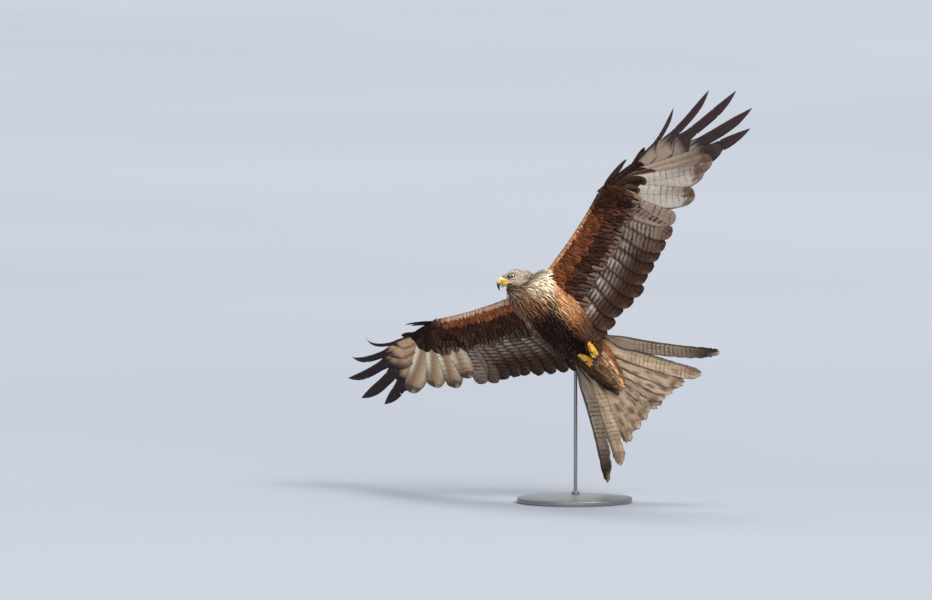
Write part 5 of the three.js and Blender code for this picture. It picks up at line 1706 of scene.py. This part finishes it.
end = banked(np.array(stand["socket"], float)) * 1000 + np.array([0, -6, 0])
postY, bend = end[1] + 76, stand["bend"]
path = [(end[0], postY, 13.0)] + [(end[0], postY, z) for z in np.linspace(40, end[2] - bend, 6)]
path += [(end[0], postY - bend + bend * math.cos(a), end[2] - bend + bend * math.sin(a))
         for a in np.linspace(0, math.pi / 2, 14)[1:]]
path += [tuple(mix(np.array([end[0], postY - bend, end[2]]), end, t)) for t in (0.5, 1.0)]
path = np.array(path)
rings = []
for i, centre in enumerate(path):
    heading = unit(path[min(i + 1, len(path) - 1)] - path[max(i - 1, 0)])
    up = np.cross(heading, (1.0, 0, 0))
    across, around = 1000 * stand["rod"] * np.array([1.0, 0, 0]), 1000 * stand["rod"] * up
    rings.append([unbanked((centre + math.cos(a) * across + math.sin(a) * around) * 0.001) for a in turnsOf(32)])
rod = ringSolid("stand_bent_rod", rings)
bpy.ops.object.shade_smooth_by_angle(angle=math.radians(40))
rod.data.materials.clear()
rod.data.materials.append(steelMaterial)
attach(rod, "root")
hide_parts("stand_rod")
deselect()
bpy.ops.mesh.primitive_cylinder_add(vertices=64, radius=stand["collar"], depth=stand["collarHeight"],
                                    location=(end[0] / 1000, postY / 1000,
                                              stand["height"] + stand["collarHeight"] / 2))
collar = bpy.context.object
collar.name = "stand_collar"
bpy.ops.object.transform_apply(location=True, rotation=True, scale=True)
modified(collar, "BEVEL", width=stand["collarBevel"], segments=3, angle_limit=math.radians(60))
bpy.ops.object.shade_smooth_by_angle(angle=math.radians(32))
collar.data.materials.append(steelMaterial)
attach(collar, "root")
print("stand made")

# floor, world and lights
room = {"floor": 600, "dark": (0.318, 0.352, 0.412), "pale": (0.352, 0.388, 0.448),
        "air": (0.86, 0.885, 0.93, 1), "glow": 0.62}
deselect()
bpy.ops.mesh.primitive_plane_add(size=room["floor"], location=(0, 0, 0))
floor = bpy.context.object
floor.name = "floor"
floorMaterial, tree, shader = nodeTree("pale floor", 0.9)
mottle = ramped(tree, noise(tree, 0.12, 2), 0.3, 0.7)
tree.links.new(blended(tree, mottle, room["dark"], room["pale"]), shader.inputs["Base Color"])
floor.data.materials.append(floorMaterial)
world = bpy.data.worlds.new("pale room")
world.use_nodes = True
world.node_tree.nodes["Background"].inputs["Color"].default_value = room["air"]
world.node_tree.nodes["Background"].inputs["Strength"].default_value = room["glow"]
bpy.context.scene.world = world
bpy.context.scene.view_settings.view_transform = "Standard"
lamps = [
    # where the light comes from, how soft it is in degrees, strength
    {"name": "key", "from": (1.5, -1.7, 2.4), "soft": 30, "strength": 3.0, "colour": (1.0, 0.95, 0.88)},
    {"name": "under", "from": (-0.4, -2.8, -0.5), "soft": 60, "strength": 0.95, "colour": (1.0, 0.97, 0.93)},
    {"name": "top", "from": (-0.2, 1.4, 2.6), "soft": 25, "strength": 1.6, "colour": (1.0, 0.98, 0.95)},
]
for lamp in lamps:
    aim = -Vector(lamp["from"])
    bpy.ops.object.light_add(type="SUN", location=lamp["from"], rotation=aim.to_track_quat("-Z", "Y").to_euler())
    light = bpy.context.object
    light.name = lamp["name"]
    light.data.angle = math.radians(lamp["soft"])
    light.data.energy = lamp["strength"]
    light.data.color = lamp["colour"]
print("room lit")
